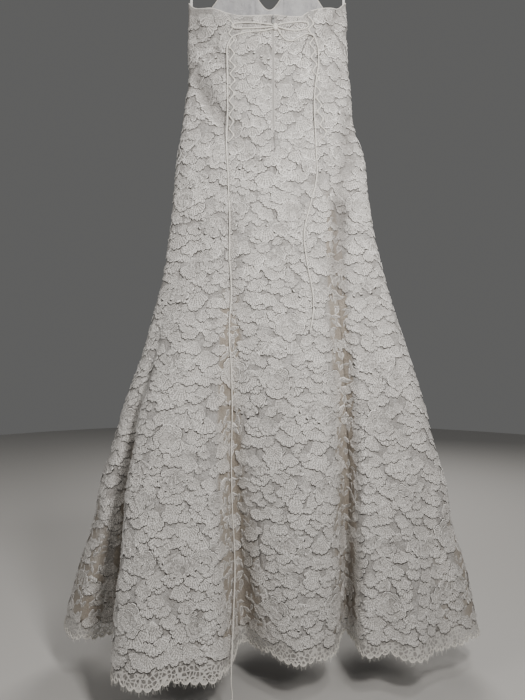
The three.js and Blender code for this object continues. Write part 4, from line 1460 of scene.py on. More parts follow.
@dataclass
class Pressed:
    """Where the lace lies flat: under the cords, the lacing and the zip's cover."""

    gown: GownSurface
    least: float = 0.3
    rise: float = 0.5

    def most(self, number: Array, height: Array) -> Array:
        """The most that lace may stand off the cloth.

        It is the least over the nearest cord or seam, and grows with the distance from that one's side.

        Args:
            number: fold numbers.
            height: heights.

        Returns:
            Millimetres.
        """
        base = self.gown.points(number, height)
        beside = np.full(height.shape, FAR_AWAY)
        for cord in CORD_ROUTES:
            line = np.array([(x, level) for x, level, _ in cord.route], float)
            for start, end in zip(line[:-1], line[1:]):
                run = end - start
                from_start = np.stack([base[..., 0] - start[0], height - start[1]], axis=-1)
                along = np.clip((from_start @ run) / (run @ run), 0.0, 1.0)
                away = np.linalg.norm(from_start - along[..., None] * run, axis=-1)
                beside = np.minimum(beside, away - CORD_CLEAR)
        beside = np.where(base[..., 1] < 0, beside, FAR_AWAY)
        wrapped = np.mod(number, len(FOLDS))
        here = self.gown.lengths(wrapped, height)
        for seam, clear in SEAM_CLEAR.items():
            away = np.abs(here - self.gown.lengths(self.gown.seam(seam, height), height)) - clear
            beside = np.where(height > SEAM_CLEAR_FROM, np.minimum(beside, away), beside)
        return self.least + self.rise * np.maximum(beside, 0.0)


@dataclass
class PetalSet:
    """Petals of one kind, each with its root on the gown, its direction and its sizes."""

    kind: Petal
    number: Array
    height: Array
    direction: Array
    root: Array
    tip: Array
    spread: Array
    base: Array
    tone: Array

    def ragged(self, across: Array) -> Array:
        """How much farther out each scallop reaches: a sine of the petal's tone and the scallop's number."""
        scallop = np.floor(across * self.kind.value.scallops / 2 + 0.3)
        return self.kind.value.ragged * np.sin(
            self.tone[:, None, None] * TONE_TURNS + scallop * SCALLOP_TURN)

    def build(self, gown: GownSurface, hem: "HemEdge") -> dict[str, Array]:
        """Lays each petal on the gown.

        A petal's two parameters are its place across, from -1 to 1, and its place out, from root to edge.
        The place out is a radius, cut back at the cusps between scallops, and the place across turns it
        about the root. The outcome is laid on the cloth by its distance round and up, and stood off it
        by the petal's own relief: rising to its edge, with a cord along it, and one side higher.

        Args:
            gown: the surface to lie on.
            hem: the lowest height at each place round.

        Returns:
            Points, faces, places and the lace's values, for all the petals.
        """
        form = self.kind.value
        corners = [(k + s) / form.scallops for k in range(form.scallops) for s in SHOULDERS] + [1.0]
        u = np.array(corners) * 2 - 1
        cusp = np.array(([1.0, 0.0, 0.0] * form.scallops) + [1.0])
        v = np.array(PETAL_ROWS)[:, None]
        cord = np.array(PETAL_CORD)[:, None]
        width = (1 - form.pointed) + form.pointed * np.sin(np.pi * np.clip(v, *POINTED_ENDS) ** 0.75)
        each = (slice(None), None, None)
        root, tip = self.root[each], self.tip[each]
        reach = root + (tip * (1 - form.rounding * u**2) - root) * v
        radius = reach - (form.cusp * cusp - self.ragged(u)) * v**3
        angle = self.direction[each] + self.spread[each] / 2 * u * width
        height = self.height[each] + radius * np.cos(angle)
        start = np.broadcast_to(self.number[each], height.shape)
        height = np.clip(height, *LACE_SPAN)
        number = gown.across(start, height, radius * np.sin(angle))
        height = np.clip(height, hem.edge(number) + LACE_INSIDE, gown.top(number) - LACE_INSIDE)
        relief = self.base[each] * smoothstep(v, *ROOT_RISES) + form.lift * v**1.5 + form.cord * cord
        relief = (relief + form.tilt * u * v) * (1.0 - SIDES_FALL * np.abs(u) ** 8)
        relief = np.where(v > EDGE_FALLS, EDGE_OUT + (relief - EDGE_OUT) * EDGE_KEEPS, relief)
        relief = np.minimum(relief, Pressed(gown).most(number, height))
        places = np.broadcast_to(together((u + 1) / 2, v), (*height.shape, 2))
        return {
            "points": gown.points(number, height, relief).reshape(-1, 3),
            "faces": many_grids(*height.shape)[:, ::-1],
            "places": places.reshape(-1, 2),
            "tone": np.broadcast_to(self.tone[each], height.shape).reshape(-1),
            "valley": gown.valleys(number, height).reshape(-1),
            "shaded_crease": gown.shaded_creases(number, height).reshape(-1),
            "leaf": np.full(height.size, form.pointed),
        }


class Rows(NamedTuple):
    """Staggered rows: the first height, the step up, the width of a place, and how loose it lies.

    The last two are the shares of places that are left out, on plain cloth and in the valleys.
    """

    first: float
    step: float
    width: float
    loose: float
    dropped: float = 0.0
    in_valleys: float = 0.0


class Bunch(NamedTuple):
    """The petals of one place: their kind, their angles, and how loose these are.

    A petal reaches from its root to its tip, spreads over an angle, and stands off the cloth by its base.
    """

    kind: Petal
    turns: tuple[float, ...]
    loose: float
    root: float
    tip: float
    spread: float
    base: float


FAN_ROWS = Rows(66.0, 17.0, 38.0, 9.0, 0.03, 0.96)
SMALL_FAN_ROWS = Rows(64.0, 32.0, 42.0, 14.0, 0.05, 0.8)
BORDER_ROW = Rows(60.0, 2000.0, 27.0, 4.0)
ROSE_ROWS = Rows(98.0, 118.0, 126.0, 24.0, 0.1, 0.5)
LEAF_ROWS = Rows(46.0, 23.0, 21.0, 8.0)
SPRAY_ROWS = Rows(130.0, 128.0, 135.0, 30.0, 0.1, 0.5)

FAN = Bunch(Petal.FAN, (0.0,), 0.6, 4.0, 32.0, 1.72, 0.2)
SMALL_FAN = Bunch(Petal.SMALL_FAN, (0.0,), 0.75, 2.0, 25.0, 1.8, 0.65)
BORDER_FAN = Bunch(Petal.SMALL_FAN, (0.0,), 0.4, 2.0, 27.0, 1.7, 0.4)
ROSE_PETALS = Bunch(Petal.ROSE, tuple(k * 1.257 for k in range(5)), 0.2, 6.0, 29.0, 1.34, 0.85)
ROSE_HEART = Bunch(Petal.HEART, tuple(k * 1.571 for k in range(4)), 0.25, 0.5, 17.0, 1.62, 1.3)
ROSE_LEAVES = Bunch(Petal.LEAF, (0.3, 2.3, 4.2), 0.3, 24.0, 58.0, 0.5, 1.0)
LEAF_PAIR = Bunch(Petal.LEAF, (-0.7, 0.7), 1.0, 2.0, 24.0, 0.72, 0.3)
SPRAY = Bunch(Petal.RIB, tuple(np.linspace(-1.0, 1.0, 6)), 0.07, 4.0, 45.0, 0.34, 1.25)


@dataclass
class Layout:
    """Where the lace's fans, roses and leaves lie: rows round the gown, each a little out of line."""

    gown: GownSurface
    seed: int = 11
    end: float = 1475.0
    past_edge: float = 12.0
    flatness: float = 0.8
    leafy: float = 0.12
    sizes: tuple[float, float] = (0.7, 1.25)
    raised: tuple[float, float] = (0.0, 0.6)

    def scatter(self, rng: np.random.Generator, rows: Rows) -> dict[str, Array]:
        """Places in staggered rows round the gown.

        Args:
            rng: the draw.
            rows: where the rows lie.

        Returns:
            Fold number, height, depth in a valley, size, rise and tone of each place.
        """
        numbers, heights = [], []
        for row, level in enumerate(np.arange(rows.first, self.end, rows.step)):
            girth = self.gown.girth(level)
            count = max(int(round(girth / rows.width)), 4)
            along = (np.arange(count) + 0.5 * (row % 2)) * girth / count
            along = along + rng.uniform(-rows.loose, rows.loose, count)
            up = level + rng.uniform(-rows.loose, rows.loose, count) * self.flatness
            numbers.append(self.gown.across(np.zeros(count), up, along % girth))
            heights.append(up)
        number, height = np.concatenate(numbers), np.concatenate(heights)
        kept = height < self.gown.top(number) + self.past_edge
        number, height = number[kept], height[kept]
        count = len(number)
        return {
            "number": number,
            "height": height,
            "valley": self.gown.valleys(number, height),
            "size": rng.uniform(*self.sizes, count),
            "raised": rng.uniform(*self.raised, count),
            "tone": rng.uniform(0.0, 1.0, count),
        }

    def petals(self) -> list[PetalSet]:
        """Every petal: rows of overlapping fans, roses on them, and leaves in the open valleys.

        Returns:
            One set for each kind.
        """
        rng = np.random.default_rng(self.seed)
        fans = self._thinned(rng, FAN_ROWS)
        small = self._thinned(rng, SMALL_FAN_ROWS)
        border = self.scatter(rng, BORDER_ROW)
        roses = self._thinned(rng, ROSE_ROWS)
        leaves = self.scatter(rng, LEAF_ROWS)
        leaves = {key: column[leaves["valley"] > self.leafy] for key, column in leaves.items()}
        sprays = self._thinned(rng, SPRAY_ROWS)
        around = rng.uniform(0, 2 * np.pi, (len(roses["number"]), 1))
        return [
            self._spread(rng, fans, FAN, np.pi),
            self._spread(rng, small, SMALL_FAN, np.pi),
            self._spread(rng, border, BORDER_FAN, np.pi),
            self._spread(rng, roses, ROSE_PETALS, around),
            self._spread(rng, roses, ROSE_HEART, around),
            self._spread(rng, roses, ROSE_LEAVES, around),
            self._spread(rng, leaves, LEAF_PAIR, 0.0),
            self._spread(rng, sprays, SPRAY, np.pi),
        ]

    def _thinned(self, rng: np.random.Generator, rows: Rows) -> dict[str, Array]:
        """Places in rows, with a share of them left out and a larger one in the valleys.

        Args:
            rng: the draw.
            rows: where the rows lie, and the two shares.

        Returns:
            The places that are kept, as scatter gives them.
        """
        places = self.scatter(rng, rows)
        share = rows.dropped + (rows.in_valleys - rows.dropped) * smoothstep(places["valley"], 0.05, 0.4)
        kept = rng.uniform(0, 1, len(share)) > share
        return {key: column[kept] for key, column in places.items()}

    def _spread(
        self, rng: np.random.Generator, places: dict[str, Array], bunch: Bunch, facing: Array | float,
    ) -> PetalSet:
        """Petals spread about each place.

        Args:
            rng: the draw.
            places: the places.
            bunch: the petals of one place.
            facing: the angle that a place faces, clockwise from up.

        Returns:
            The petals of every place.
        """
        shape = (len(places["number"]), len(bunch.turns))
        size = places["size"][:, None]
        columns = (
            places["number"][:, None],
            places["height"][:, None],
            np.array(bunch.turns)[None, :] + facing + rng.uniform(-bunch.loose, bunch.loose, shape),
            bunch.root * size,
            bunch.tip * size * rng.uniform(0.9, 1.1, shape),
            bunch.spread * rng.uniform(0.8, 1.2, shape),
            bunch.base + places["raised"][:, None],
            places["tone"][:, None] * 0.7 + rng.uniform(0, 0.3, shape),
        )
        return PetalSet(bunch.kind, *(np.broadcast_to(column, shape).reshape(-1) for column in columns))


@dataclass
class Lace:
    """The lace's raised flowers, laid over the panels."""

    gown: GownSurface
    hem: "HemEdge"

    def panel_of(self, petals: PetalSet) -> Array:
        """The number of the panel that each petal's root lies on: how many seams lie before it."""
        seams = np.array([self.gown.seam(k, petals.height) for k in range(1, len(SEAMS) - 1)])
        return (seams <= np.mod(petals.number, len(FOLDS))).sum(axis=0)

    def build(self) -> dict[int, Piece]:
        """Makes one piece of joined petals for each panel.

        Returns:
            The pieces by panel number.
        """
        sets = Layout(self.gown).petals()
        panels = [self.panel_of(petals) for petals in sets]
        pieces = {}
        for index, name in enumerate(PANEL_NAMES):
            parts = []
            for petals, panel in zip(sets, panels):
                kept = [getattr(petals, key)[panel == index] for key in PETAL_COLUMNS]
                parts.append(PetalSet(petals.kind, *kept).build(self.gown, self.hem))
            starts = np.cumsum([0] + [len(part["points"]) for part in parts[:-1]])
            faces = np.concatenate([part["faces"] + start for part, start in zip(parts, starts)])
            stacked = {key: np.concatenate([part[key] for part in parts])
                       for key in ("points", "places", *LACE_VALUES)}
            pieces[index] = make_piece(
                name.replace("panel", "lace"), stacked["points"], faces, Finish.LACE,
                uv=stacked["places"], values={key: stacked[key] for key in LACE_VALUES},
            )
        return pieces


@dataclass
class HemEdge:
    """The scalloped lower edge: two scallops to a cell, and larger waves of three cells between notches."""

    gown: GownSurface
    cell_width: float = 34.0
    scallop: float = 6.0
    notch: float = 9.0
    cells_per_wave: int = 3
    level: float = 20.0

    def track(self, start: int, end: int) -> tuple[Array, Array, int]:
        """The edge between two folds.

        Args:
            start: the first fold's number.
            end: the last fold's number.

        Returns:
            Fold numbers, millimetres along at each, and the number of cells.
        """
        inside = (self.gown.numbers >= start) & (self.gown.numbers <= end)
        numbers = self.gown.numbers[inside]
        along = self.gown.lengths(numbers, np.full_like(numbers, self.level))
        along = along - along[0]
        return numbers, along, int(round(along[-1] / self.cell_width))

    def cells(self, number: Array) -> Array:
        """The place along the edge, counted in cells.

        Args:
            number: fold numbers.

        Returns:
            How many cells lie before each, from the start of its half of the hem.
        """
        number = np.mod(number, len(FOLDS))
        halves = [self.track(0, RIGHT_SIDE), self.track(RIGHT_SIDE, len(FOLDS))]
        values = [np.interp(number, n, along * count / along[-1]) for n, along, count in halves]
        return np.where(number < RIGHT_SIDE, values[0], values[1])

    def edge(self, number: Array) -> Array:
        """The edge's height: scallops as a power of a cosine, notches where the waves meet.

        Args:
            number: fold numbers.

        Returns:
            Heights above the hem's tips.
        """
        cells = self.cells(number)
        scallop = self.scallop * np.abs(np.cos(2 * np.pi * cells)) ** 5
        wave = np.abs(np.sin(np.pi * cells / self.cells_per_wave))
        return scallop + self.notch * (1 - wave) ** 2


@dataclass
class HemLace:
    """Half of the lace border below the satin, with its corded edge, its eyelets and its loose threads."""

    gown: GownSurface
    hem: HemEdge
    name: str
    start: int
    end: int
    inset: float = WALL / 2
    spacing: float = 1.7
    rows: int = 7
    cord: float = 1.9
    eyelet_width: float = 8.6
    eyelet_height: float = 9.5
    eyelet_narrows: float = 0.38
    eyelet_up: float = 2.2
    eyelet_cord: float = 1.3
    thread: float = 0.6
    thread_gap: float = 2.6
    thread_lowest: float = -8.5

    def at(self, along: Array, height: Array, out: float) -> Array:
        """Points of the border by millimetres along it."""
        numbers, track, _ = self.hem.track(self.start, self.end)
        return self.gown.points(np.interp(along, track, numbers), height, out)

    def low(self, along: Array) -> Array:
        """The edge's height by millimetres along it."""
        numbers, track, _ = self.hem.track(self.start, self.end)
        return self.hem.edge(np.clip(np.interp(along, track, numbers), self.start + 1e-6, self.end - 1e-6))

    def build(self) -> Piece:
        """Returns:
            The net.
        """
        _, track, cells = self.hem.track(self.start, self.end)
        long = track[-1]
        along = np.linspace(TRIM / 2, long - TRIM / 2, int(long / self.spacing))
        rise = np.linspace(0.0, 1.0, self.rows)[:, None]
        low = self.low(along)
        height = low + (BORDER_TOP - TRIM / 2 - low) * rise
        grid = self.at(np.broadcast_to(along, height.shape), height, -self.inset)
        cloth = make_piece(self.name + "_net", grid, grid_faces(*height.shape), Finish.HEM,
                           uv=together(along[None, :], height))
        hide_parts(self.name)
        trims = [
            self._edge(along),
            self._eyelets(long, cells),
            self._threads(long),
        ]
        long * MM
        cloth_area(grid) * MM * MM
        return cloth

    def _edge(self, along: Array) -> Piece:
        """The thick cord round the scallops."""
        line = self.at(along, self.low(along) + self.cord / 2, -self.inset)
        return Tube(line, self.cord, self.cord * 0.9, 6, UPWARD).piece(
            self.name + "_cord", Finish.CORD, "lace")

    def _eyelets(self, long: float, cells: int) -> Piece:
        """A corded teardrop in each scallop, drawn as a circle that narrows upward.

        Args:
            long: the border's length.
            cells: how many cells it has, of two scallops each.

        Returns:
            The eyelets, joined.
        """
        middle = (np.arange(2 * cells) + 0.5) * long / (2 * cells)
        turn = np.linspace(0, 2 * np.pi, 15)
        across = np.sin(turn) * (1 - self.eyelet_narrows * np.cos(turn)) * self.eyelet_width / 2
        up = np.cos(turn) * self.eyelet_height / 2
        along = np.clip(middle[:, None] + across, TRIM, long - TRIM)
        height = self.low(middle)[:, None] + self.eyelet_height / 2 + self.eyelet_up + up
        centre = self.at(along, height, 0.5 - self.inset)
        outward = self.at(along, height, 1.0) - self.at(along, height, 0.0)
        side = np.cross(outward, unit(np.gradient(centre, axis=1)))
        round_it = np.linspace(0, 2 * np.pi, 6)[:, None]
        size = self.eyelet_cord / 2
        ring = side[:, :, None] * np.cos(round_it) * size + outward[:, :, None] * np.sin(round_it) * size
        points = centre[:, :, None] + ring
        places = together(np.arange(len(turn))[:, None] * 2.0, round_it[:, 0] / (2 * np.pi))
        places = np.broadcast_to(places, points.shape[:3] + (2,))
        return make_piece(self.name + "_eyelets", points, many_grids(*points.shape[:3]),
                          Finish.CORD, uv=places)

    def _threads(self, long: float) -> Piece:
        """Loose threads, 4 to 9.5 mm long, that hang from the edge and lean at random.

        Args:
            long: the border's length.

        Returns:
            The threads, joined.
        """
        rng = np.random.default_rng(self.start + 5)
        root = np.arange(2.0, long - 2.0, self.thread_gap)
        root = root + rng.uniform(-1.2, 1.2, len(root))
        reach = rng.uniform(4.0, 9.5, len(root))[:, None]
        lean = rng.uniform(-0.5, 0.5, len(root))[:, None]
        share = np.array([0.0, 0.4, 0.75, 1.0])
        along = np.clip(root[:, None] + lean * reach * share**1.5, TRIM, long - TRIM)
        height = np.maximum(self.low(root)[:, None] + 0.6 - reach * share, self.thread_lowest)
        curl = rng.uniform(-1.5, 2.0, len(root))[:, None] * share**2
        line = self.at(along, height, 0.0)
        outward = self.at(along, height, 1.0) - line
        side = np.cross(outward, UPWARD)
        turn = np.array([0, 2 * np.pi / 3, 4 * np.pi / 3, 2 * np.pi])[:, None]
        size = (self.thread / 2 * (1 - 0.6 * share))[None, :, None, None]
        ring = (side[:, :, None] * np.cos(turn) + outward[:, :, None] * np.sin(turn)) * size
        points = (line + outward * (curl[..., None] - self.inset))[:, :, None] + ring
        return make_piece(self.name + "_threads", points, many_grids(*points.shape[:3])[:, ::-1],
                          Finish.CORD, uv=np.zeros(points.shape[:3] + (2,)))


@dataclass
class TopPiping:
    """A narrow satin piping round the top edge, which closes lace and satin together."""

    gown: GownSurface
    across: float = 2.6
    samples: int = 480

    def build(self) -> Piece:
        """Carries a round profile along the top edge, once round the gown.

        Returns:
            The piping.
        """
        number = np.linspace(0.0, len(FOLDS) - 1e-6, self.samples)
        line = self.gown.points(number, self.gown.top(number) - 0.4, -WALL / 2)
        return Tube(line, self.across, self.across, 8, UPWARD).piece("top_piping", Finish.CORD, "lace")


@dataclass
class Cup:
    """A padded satin cup inside the front: it is sewn along its rim and has two boned seams."""

    gown: GownSurface
    name: str
    first: float
    last: float
    thick: float = 5.6
    rim: float = 1.0
    low_share: float = 0.905
    columns: int = 46
    rows: int = 34
    bones: tuple[float, float] = (0.34, 0.66)
    bone_width: float = 0.018
    bone_rise: float = 1.1
    pucker: float = 0.5
    pucker_width: float = 0.3

    def build(self) -> Piece:
        """Makes the cup as a closed wall, thickest in its middle.

        The thickness is the rim's plus a crown: a low power of the distance from the two sides, times a
        soft step from the upper and the lower edge. Two narrow ridges run up it for the boning.

        Returns:
            The cup.
        """
        share = np.linspace(0.0, 1.0, self.columns)[None, :]
        rise = np.linspace(0.0, 1.0, self.rows)[:, None]
        column = self.first + (self.last - self.first) * share
        panel = np.floor(column).astype(int)
        part = column - panel
        at_top = np.array([self.gown.seam(k, BODICE_TOP) for k in range(len(SEAMS))])
        number = at_top[panel] * (1 - part) + at_top[panel + 1] * part
        row = self.low_share + (1 - self.low_share) * rise
        height = row_height(self.gown.top(number), row) - 0.6
        number = np.broadcast_to(number, height.shape)
        crown = (4 * share * (1 - share)) ** 0.4
        crown = crown * smoothstep(rise, -0.02, 0.16) * smoothstep(1.0 - rise, -0.02, 0.12)
        ridges = sum(np.exp(-(((share - bone) / self.bone_width) ** 2)) for bone in self.bones)
        middle = np.exp(-(((share - 0.5) / self.pucker_width) ** 2))
        pucker = self.pucker * np.sin(rise * 21 + share * 5) * middle
        thick = self.rim + (self.thick - self.rim + pucker) * crown + self.bone_rise * ridges * crown
        inset = WALL + TRIM
        outer = self.gown.points(number, height, -inset)
        inner = self.gown.points(number, height, -(inset + thick))
        points, faces, _ = closed_wall(outer, inner)
        piece = make_piece(self.name + "_pad", points, faces, Finish.SATIN)
        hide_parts(self.name)
        return piece


@dataclass
class Lacing:
    """Lacing along one back seam: a satin placket, button loops on both sides, and a cord through them."""

    gown: GownSurface
    name: str
    seam: int
    strip_row: float = 0.785
    low_row: float = 0.79
    high_row: float = 0.99
    turns: int = 9
    reach: float = 4.2
    cord: float = 2.2
    half_width: float = 4.2
    thick: float = 0.8
    clear: float = 0.4
    crossing_samples: int = 18
    loop: float = 1.3
    loop_root: float = 1.6
    loop_out: float = 3.4
    loop_tall: float = 3.6

    def at(self, height: Array, side: Array, out: Array | float) -> Array:
        """Points beside the seam: level with it, at a distance to its right."""
        height, side = np.broadcast_arrays(np.asarray(height, float), np.asarray(side, float))
        return self.gown.points(
            self.gown.across(self.gown.seam(self.seam, height), height, side), height, out)

    def build(self) -> list[Piece]:
        """Makes the placket, the cord that crosses it from loop to loop, and the loops.

        Returns:
            The three pieces.
        """
        top = self.gown.seam_top(self.seam)
        height = np.linspace(row_height(top, self.strip_row), top - 0.5, 90)[:, None]
        side = np.linspace(-self.half_width, self.half_width, 7)[None, :]
        bulge = self.clear + self.thick * (1 - (side / self.half_width) ** 4) ** 0.5
        points = self.at(height, side, bulge)
        placket = make_piece(self.name + "_strip", points, grid_faces(*points.shape[:2]),
                             Finish.PLACKET)
        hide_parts(self.name + "_placket")
        out = self.clear + self.thick + 0.8 + self.cord / 2
        steps = np.arange(2 * self.turns + 1)
        rows = self.low_row + (self.high_row - self.low_row) * steps / (2 * self.turns)
        heights = row_height(top, rows)
        crossing = self.at(heights, np.where(steps % 2, self.reach, -self.reach), out)
        line = centripetal(crossing, self.crossing_samples * 2 * self.turns)
        cord = Tube(line, self.cord, self.cord * 0.9, 9).piece(self.name + "_lace_cord", Finish.CORD, "cord")
        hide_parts(self.name + "_cord")
        loops = []
        turn = np.linspace(-1.9, 1.9, 15)
        for k, middle in enumerate(heights):
            way = 1.0 if k % 2 else -1.0
            across = way * (self.reach - self.loop_root + self.loop_out * np.cos(turn))
            up = middle + self.loop_tall * np.sin(turn)
            loop = self.at(up, across, out - 0.5 + 0.5 * np.cos(turn))
            loops.append(Tube(loop, self.loop, self.loop, 6).build())
        points, faces, places = joined(loops)
        eyes = make_piece(self.name + "_loops", points, faces, Finish.CORD, uv=places)
        return [placket, cord, eyes]


@dataclass
class ZipCover:
    """The woven strip over the concealed zip, and the finishes of its slider and pull tab."""

    gown: GownSurface
    low_row: float = 0.815
    half_width: float = 2.8
    thick: float = 0.8
    clear: float = 0.4
    groove: float = 0.35
    groove_width: float = 0.14
    rows: int = 130
    columns: int = 11

    def build(self) -> Piece:
        """Makes the strip: flat, with soft edges and a slight groove where its two sides meet.

        Returns:
            The strip.
        """
        top = self.gown.seam_top(ZIP_SEAM)
        height = np.linspace(row_height(top, self.low_row), top - 0.5, self.rows)[:, None]
        side = np.linspace(-1.0, 1.0, self.columns)[None, :]
        height, side = np.broadcast_arrays(height, side)
        number = self.gown.across(self.gown.seam(ZIP_SEAM, height), height, side * self.half_width)
        flat = self.clear * 0.5 + (self.clear * 0.5 + self.thick) * (1 - side**6)
        groove = self.groove * np.exp(-((side / self.groove_width) ** 2))
        points = self.gown.points(number, height, flat - groove)
        strip = make_piece("zip_cover", points, grid_faces(self.rows, self.columns), Finish.STRIP,
                           uv=together((side + 1) / 2, height))
        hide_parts("zip_strip")
        for name in ("zip_slider", "zip_pull_tab"):
            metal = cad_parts[name].data.materials
            metal.clear()
            metal.append(MATERIALS[Finish.ZIP_METAL])
        return strip


@dataclass
class Bow:
    """The bow tied across the back: two loops, two tails and a knot, all of one satin cord."""

    x: float = 11.0
    y: float = -45.4
    height: float = 1304.0
    width: float = 11.0
    tall: float = 14.0
    deep: float = 7.6
    knot_rows: int = 33
    knot_columns: int = 29

    def build(self) -> Piece:
        """Returns:
            The knot.
        """
        for name, samples, far_end, route in CORD_ROUTES:
            line = centripetal(np.array([(x, y, height) for x, height, y in route], float), samples)
            cord = Tube(line, CORD_SIZE, CORD_SIZE, 10).piece(name + "_satin", Finish.CORD, "cord")
            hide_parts(name)
        return self._knot()

    def _knot(self) -> Piece:
        """Makes the knot: an oval with three wraps, each a swell round its middle.

        Returns:
            The knot.
        """
        rise = np.linspace(-np.pi / 2, np.pi / 2, self.knot_rows)[:, None]
        turn = np.linspace(0.0, 2 * np.pi, self.knot_columns)[None, :]
        wraps = 1.0 + 0.10 * np.cos(rise * 6.0 + np.sin(turn) * 0.7)
        ring = np.cos(rise) ** 0.8 * wraps
        x = self.x + self.width / 2 * ring * np.cos(turn)
        y = self.y + self.deep / 2 * ring * np.sin(turn)
        points = together(x, y, self.height + self.tall / 2 * np.sin(rise))
        knot = make_piece("bow_knot_satin", points, grid_faces(self.knot_rows, self.knot_columns),
                          Finish.CORD, uv=together(turn * 2.4, rise * 0.6))
        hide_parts("bow_knot")
        return knot


@dataclass
class Hanger:
    """A plain wooden hanger: a curved bar with two notches, a wire hook, and the gown's two ribbon loops."""

    gown: GownSurface
    centre: float = 1500.0
    drop: float = 62.0
    half_length: float = 212.0
    half_thick: float = 6.0
    half_tall: float = 13.0
    end_tall: float = 10.0
    notch_x: float = 168.0
    notch_half: float = 17.0
    notch_deep: float = 4.0
    notch_edge: float = 5.0
    squareness: float = 0.7
    bar_rows: int = 151
    bar_columns: int = 33
    wire: float = 2.0
    bend: float = 20.0
    stem_top: float = 1546.0
    ribbon_width: float = 5.0
    ribbon_thick: float = 1.0
    ribbon_low: float = 1352.0
    ribbon_joins: float = 1386.0
    ribbon_spreads: float = 1434.0

    def middle(self, x: Array) -> Array:
        """The bar's middle line: half a wave, highest at the centre."""
        return self.centre - self.drop * np.sin(np.pi / 2 * np.minimum(np.abs(x) / self.half_length, 1.0))

    def tall(self, x: Array) -> Array:
        """Half the bar's height, which tapers to its ends."""
        return self.half_tall + (self.end_tall - self.half_tall) * np.abs(x) / self.half_length

    def notch(self, x: Array) -> Array:
        """How far the bar's upper side is cut down."""
        inside = self.notch_half - np.abs(np.abs(x) - self.notch_x)
        return self.notch_deep * smoothstep(inside, 0.0, self.notch_edge)

    def build(self) -> list[Piece]:
        """Makes the bar, the hook and the two ribbons."""
        return [self._bar(), self._hook(), self._ribbon(-1), self._ribbon(1)]

    def _bar(self) -> Piece:
        """Carries a squarish oval along the bar, rounded off at both ends.

        Returns:
            The bar.
        """
        share = np.sin(np.linspace(-np.pi / 2, np.pi / 2, self.bar_rows))[:, None]
        x = share * self.half_length
        end = np.sqrt(np.maximum(1 - np.abs(share) ** 24, 0.0))
        turn = np.linspace(0.0, -2 * np.pi, self.bar_columns)[None, :]
        cosine, sine = np.cos(turn), np.sin(turn)
        y = self.half_thick * end * np.sign(cosine) * np.abs(cosine) ** self.squareness
        up = self.tall(x) * end * np.sign(sine) * np.abs(sine) ** self.squareness
        cut = self.notch(x) * np.clip(sine * 3, 0.0, 1.0)
        faces = grid_faces(self.bar_rows, self.bar_columns)[:, ::-1]
        bar = make_piece("hanger_bar_wood", together(x, y, self.middle(x) + up - cut), faces,
                         Finish.WOOD)
        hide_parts("hanger_bar")
        return bar

    def _hook(self) -> Piece:
        """Carries the wire up from the bar and round the bend.

        Returns:
            The hook.
        """
        middle = HANG_HEIGHT + self.wire - self.bend
        turns = np.radians(np.arange(-58, 207, 22))
        foot = self.centre + self.half_tall * math.cos(math.pi / 8) ** self.squareness
        stem = [(0.0, 0.0, height) for height in (foot + 0.3, foot + 12, self.stem_top)]
        arc = [(self.bend * math.cos(t), 0.0, middle + self.bend * math.sin(t)) for t in turns]
        line = centripetal(np.array(stem + arc), 160)
        tube = Tube(line, 2 * self.wire, 2 * self.wire, 16)
        hook = tube.piece("hanger_hook_wire", Finish.HOOK_METAL, "hook_metal")
        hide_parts("hanger_hook")
        return hook

    def _ribbon(self, side: int) -> Piece:
        """Lays one ribbon from the seam up one face of the bar, over its notch and down again.

        Args:
            side: -1 for the left ribbon, 1 for the right one.

        Returns:
            The ribbon.
        """
        width, thick = self.ribbon_width, self.ribbon_thick
        low, joins, spreads = self.ribbon_low, self.ribbon_joins, self.ribbon_spreads
        seam = 0.0 if side < 0 else float(RIGHT_SIDE)
        face = self.gown.points(np.array(seam), np.array(low + 10.0), -(WALL + TRIM))
        x = float(face[0]) - side * (width / 2 + 0.4)
        near = abs(x) - width / 2
        top = float(self.middle(near) + self.tall(near)) - self.notch_deep + 0.7 + thick / 2
        reach = self.half_thick + 0.4 + thick / 2
        leg = [
            (0.65, low),
            (0.65, joins),
            (reach * 0.55, (joins + spreads) / 2 + 4),
            (reach, spreads),
            (reach, top - 8),
            (reach * 0.72, top - 1.4),
            (0.0, top),
        ]
        route = [(x, -y, height) for y, height in leg] + [(x, y, height) for y, height in leg[-2::-1]]
        line = centripetal(np.array(route), 150)
        tube = Tube(line, thick, width, 12, SIDEWAYS)
        name = "hanger_ribbon_left" if side < 0 else "hanger_ribbon_right"
        ribbon = tube.piece(name + "_satin", Finish.RIBBON, "ribbon")
        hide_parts(name)
        return ribbon


class Lamp(NamedTuple):
    """A soft square light: its place in metres, its side in metres, and its power in watts."""

    name: str
    place: Point
    size: float
    power: float


LAMPS = (
    Lamp("key", (0.40, -0.98, -0.40), 0.2, 13.8),
    Lamp("above", (0.7, -1.0, 1.3), 0.25, 13.5),
    Lamp("fill", (-1.5, -1.2, -0.2), 0.6, 9.5),
    Lamp("back", (0.6, 2.0, 0.5), 1.4, 40.0),
)
LAMP_COLOUR = (1.0, 0.97, 0.93)
LIT_HEIGHT = -0.75  # the height in metres that every lamp is turned to, about the gown's middle


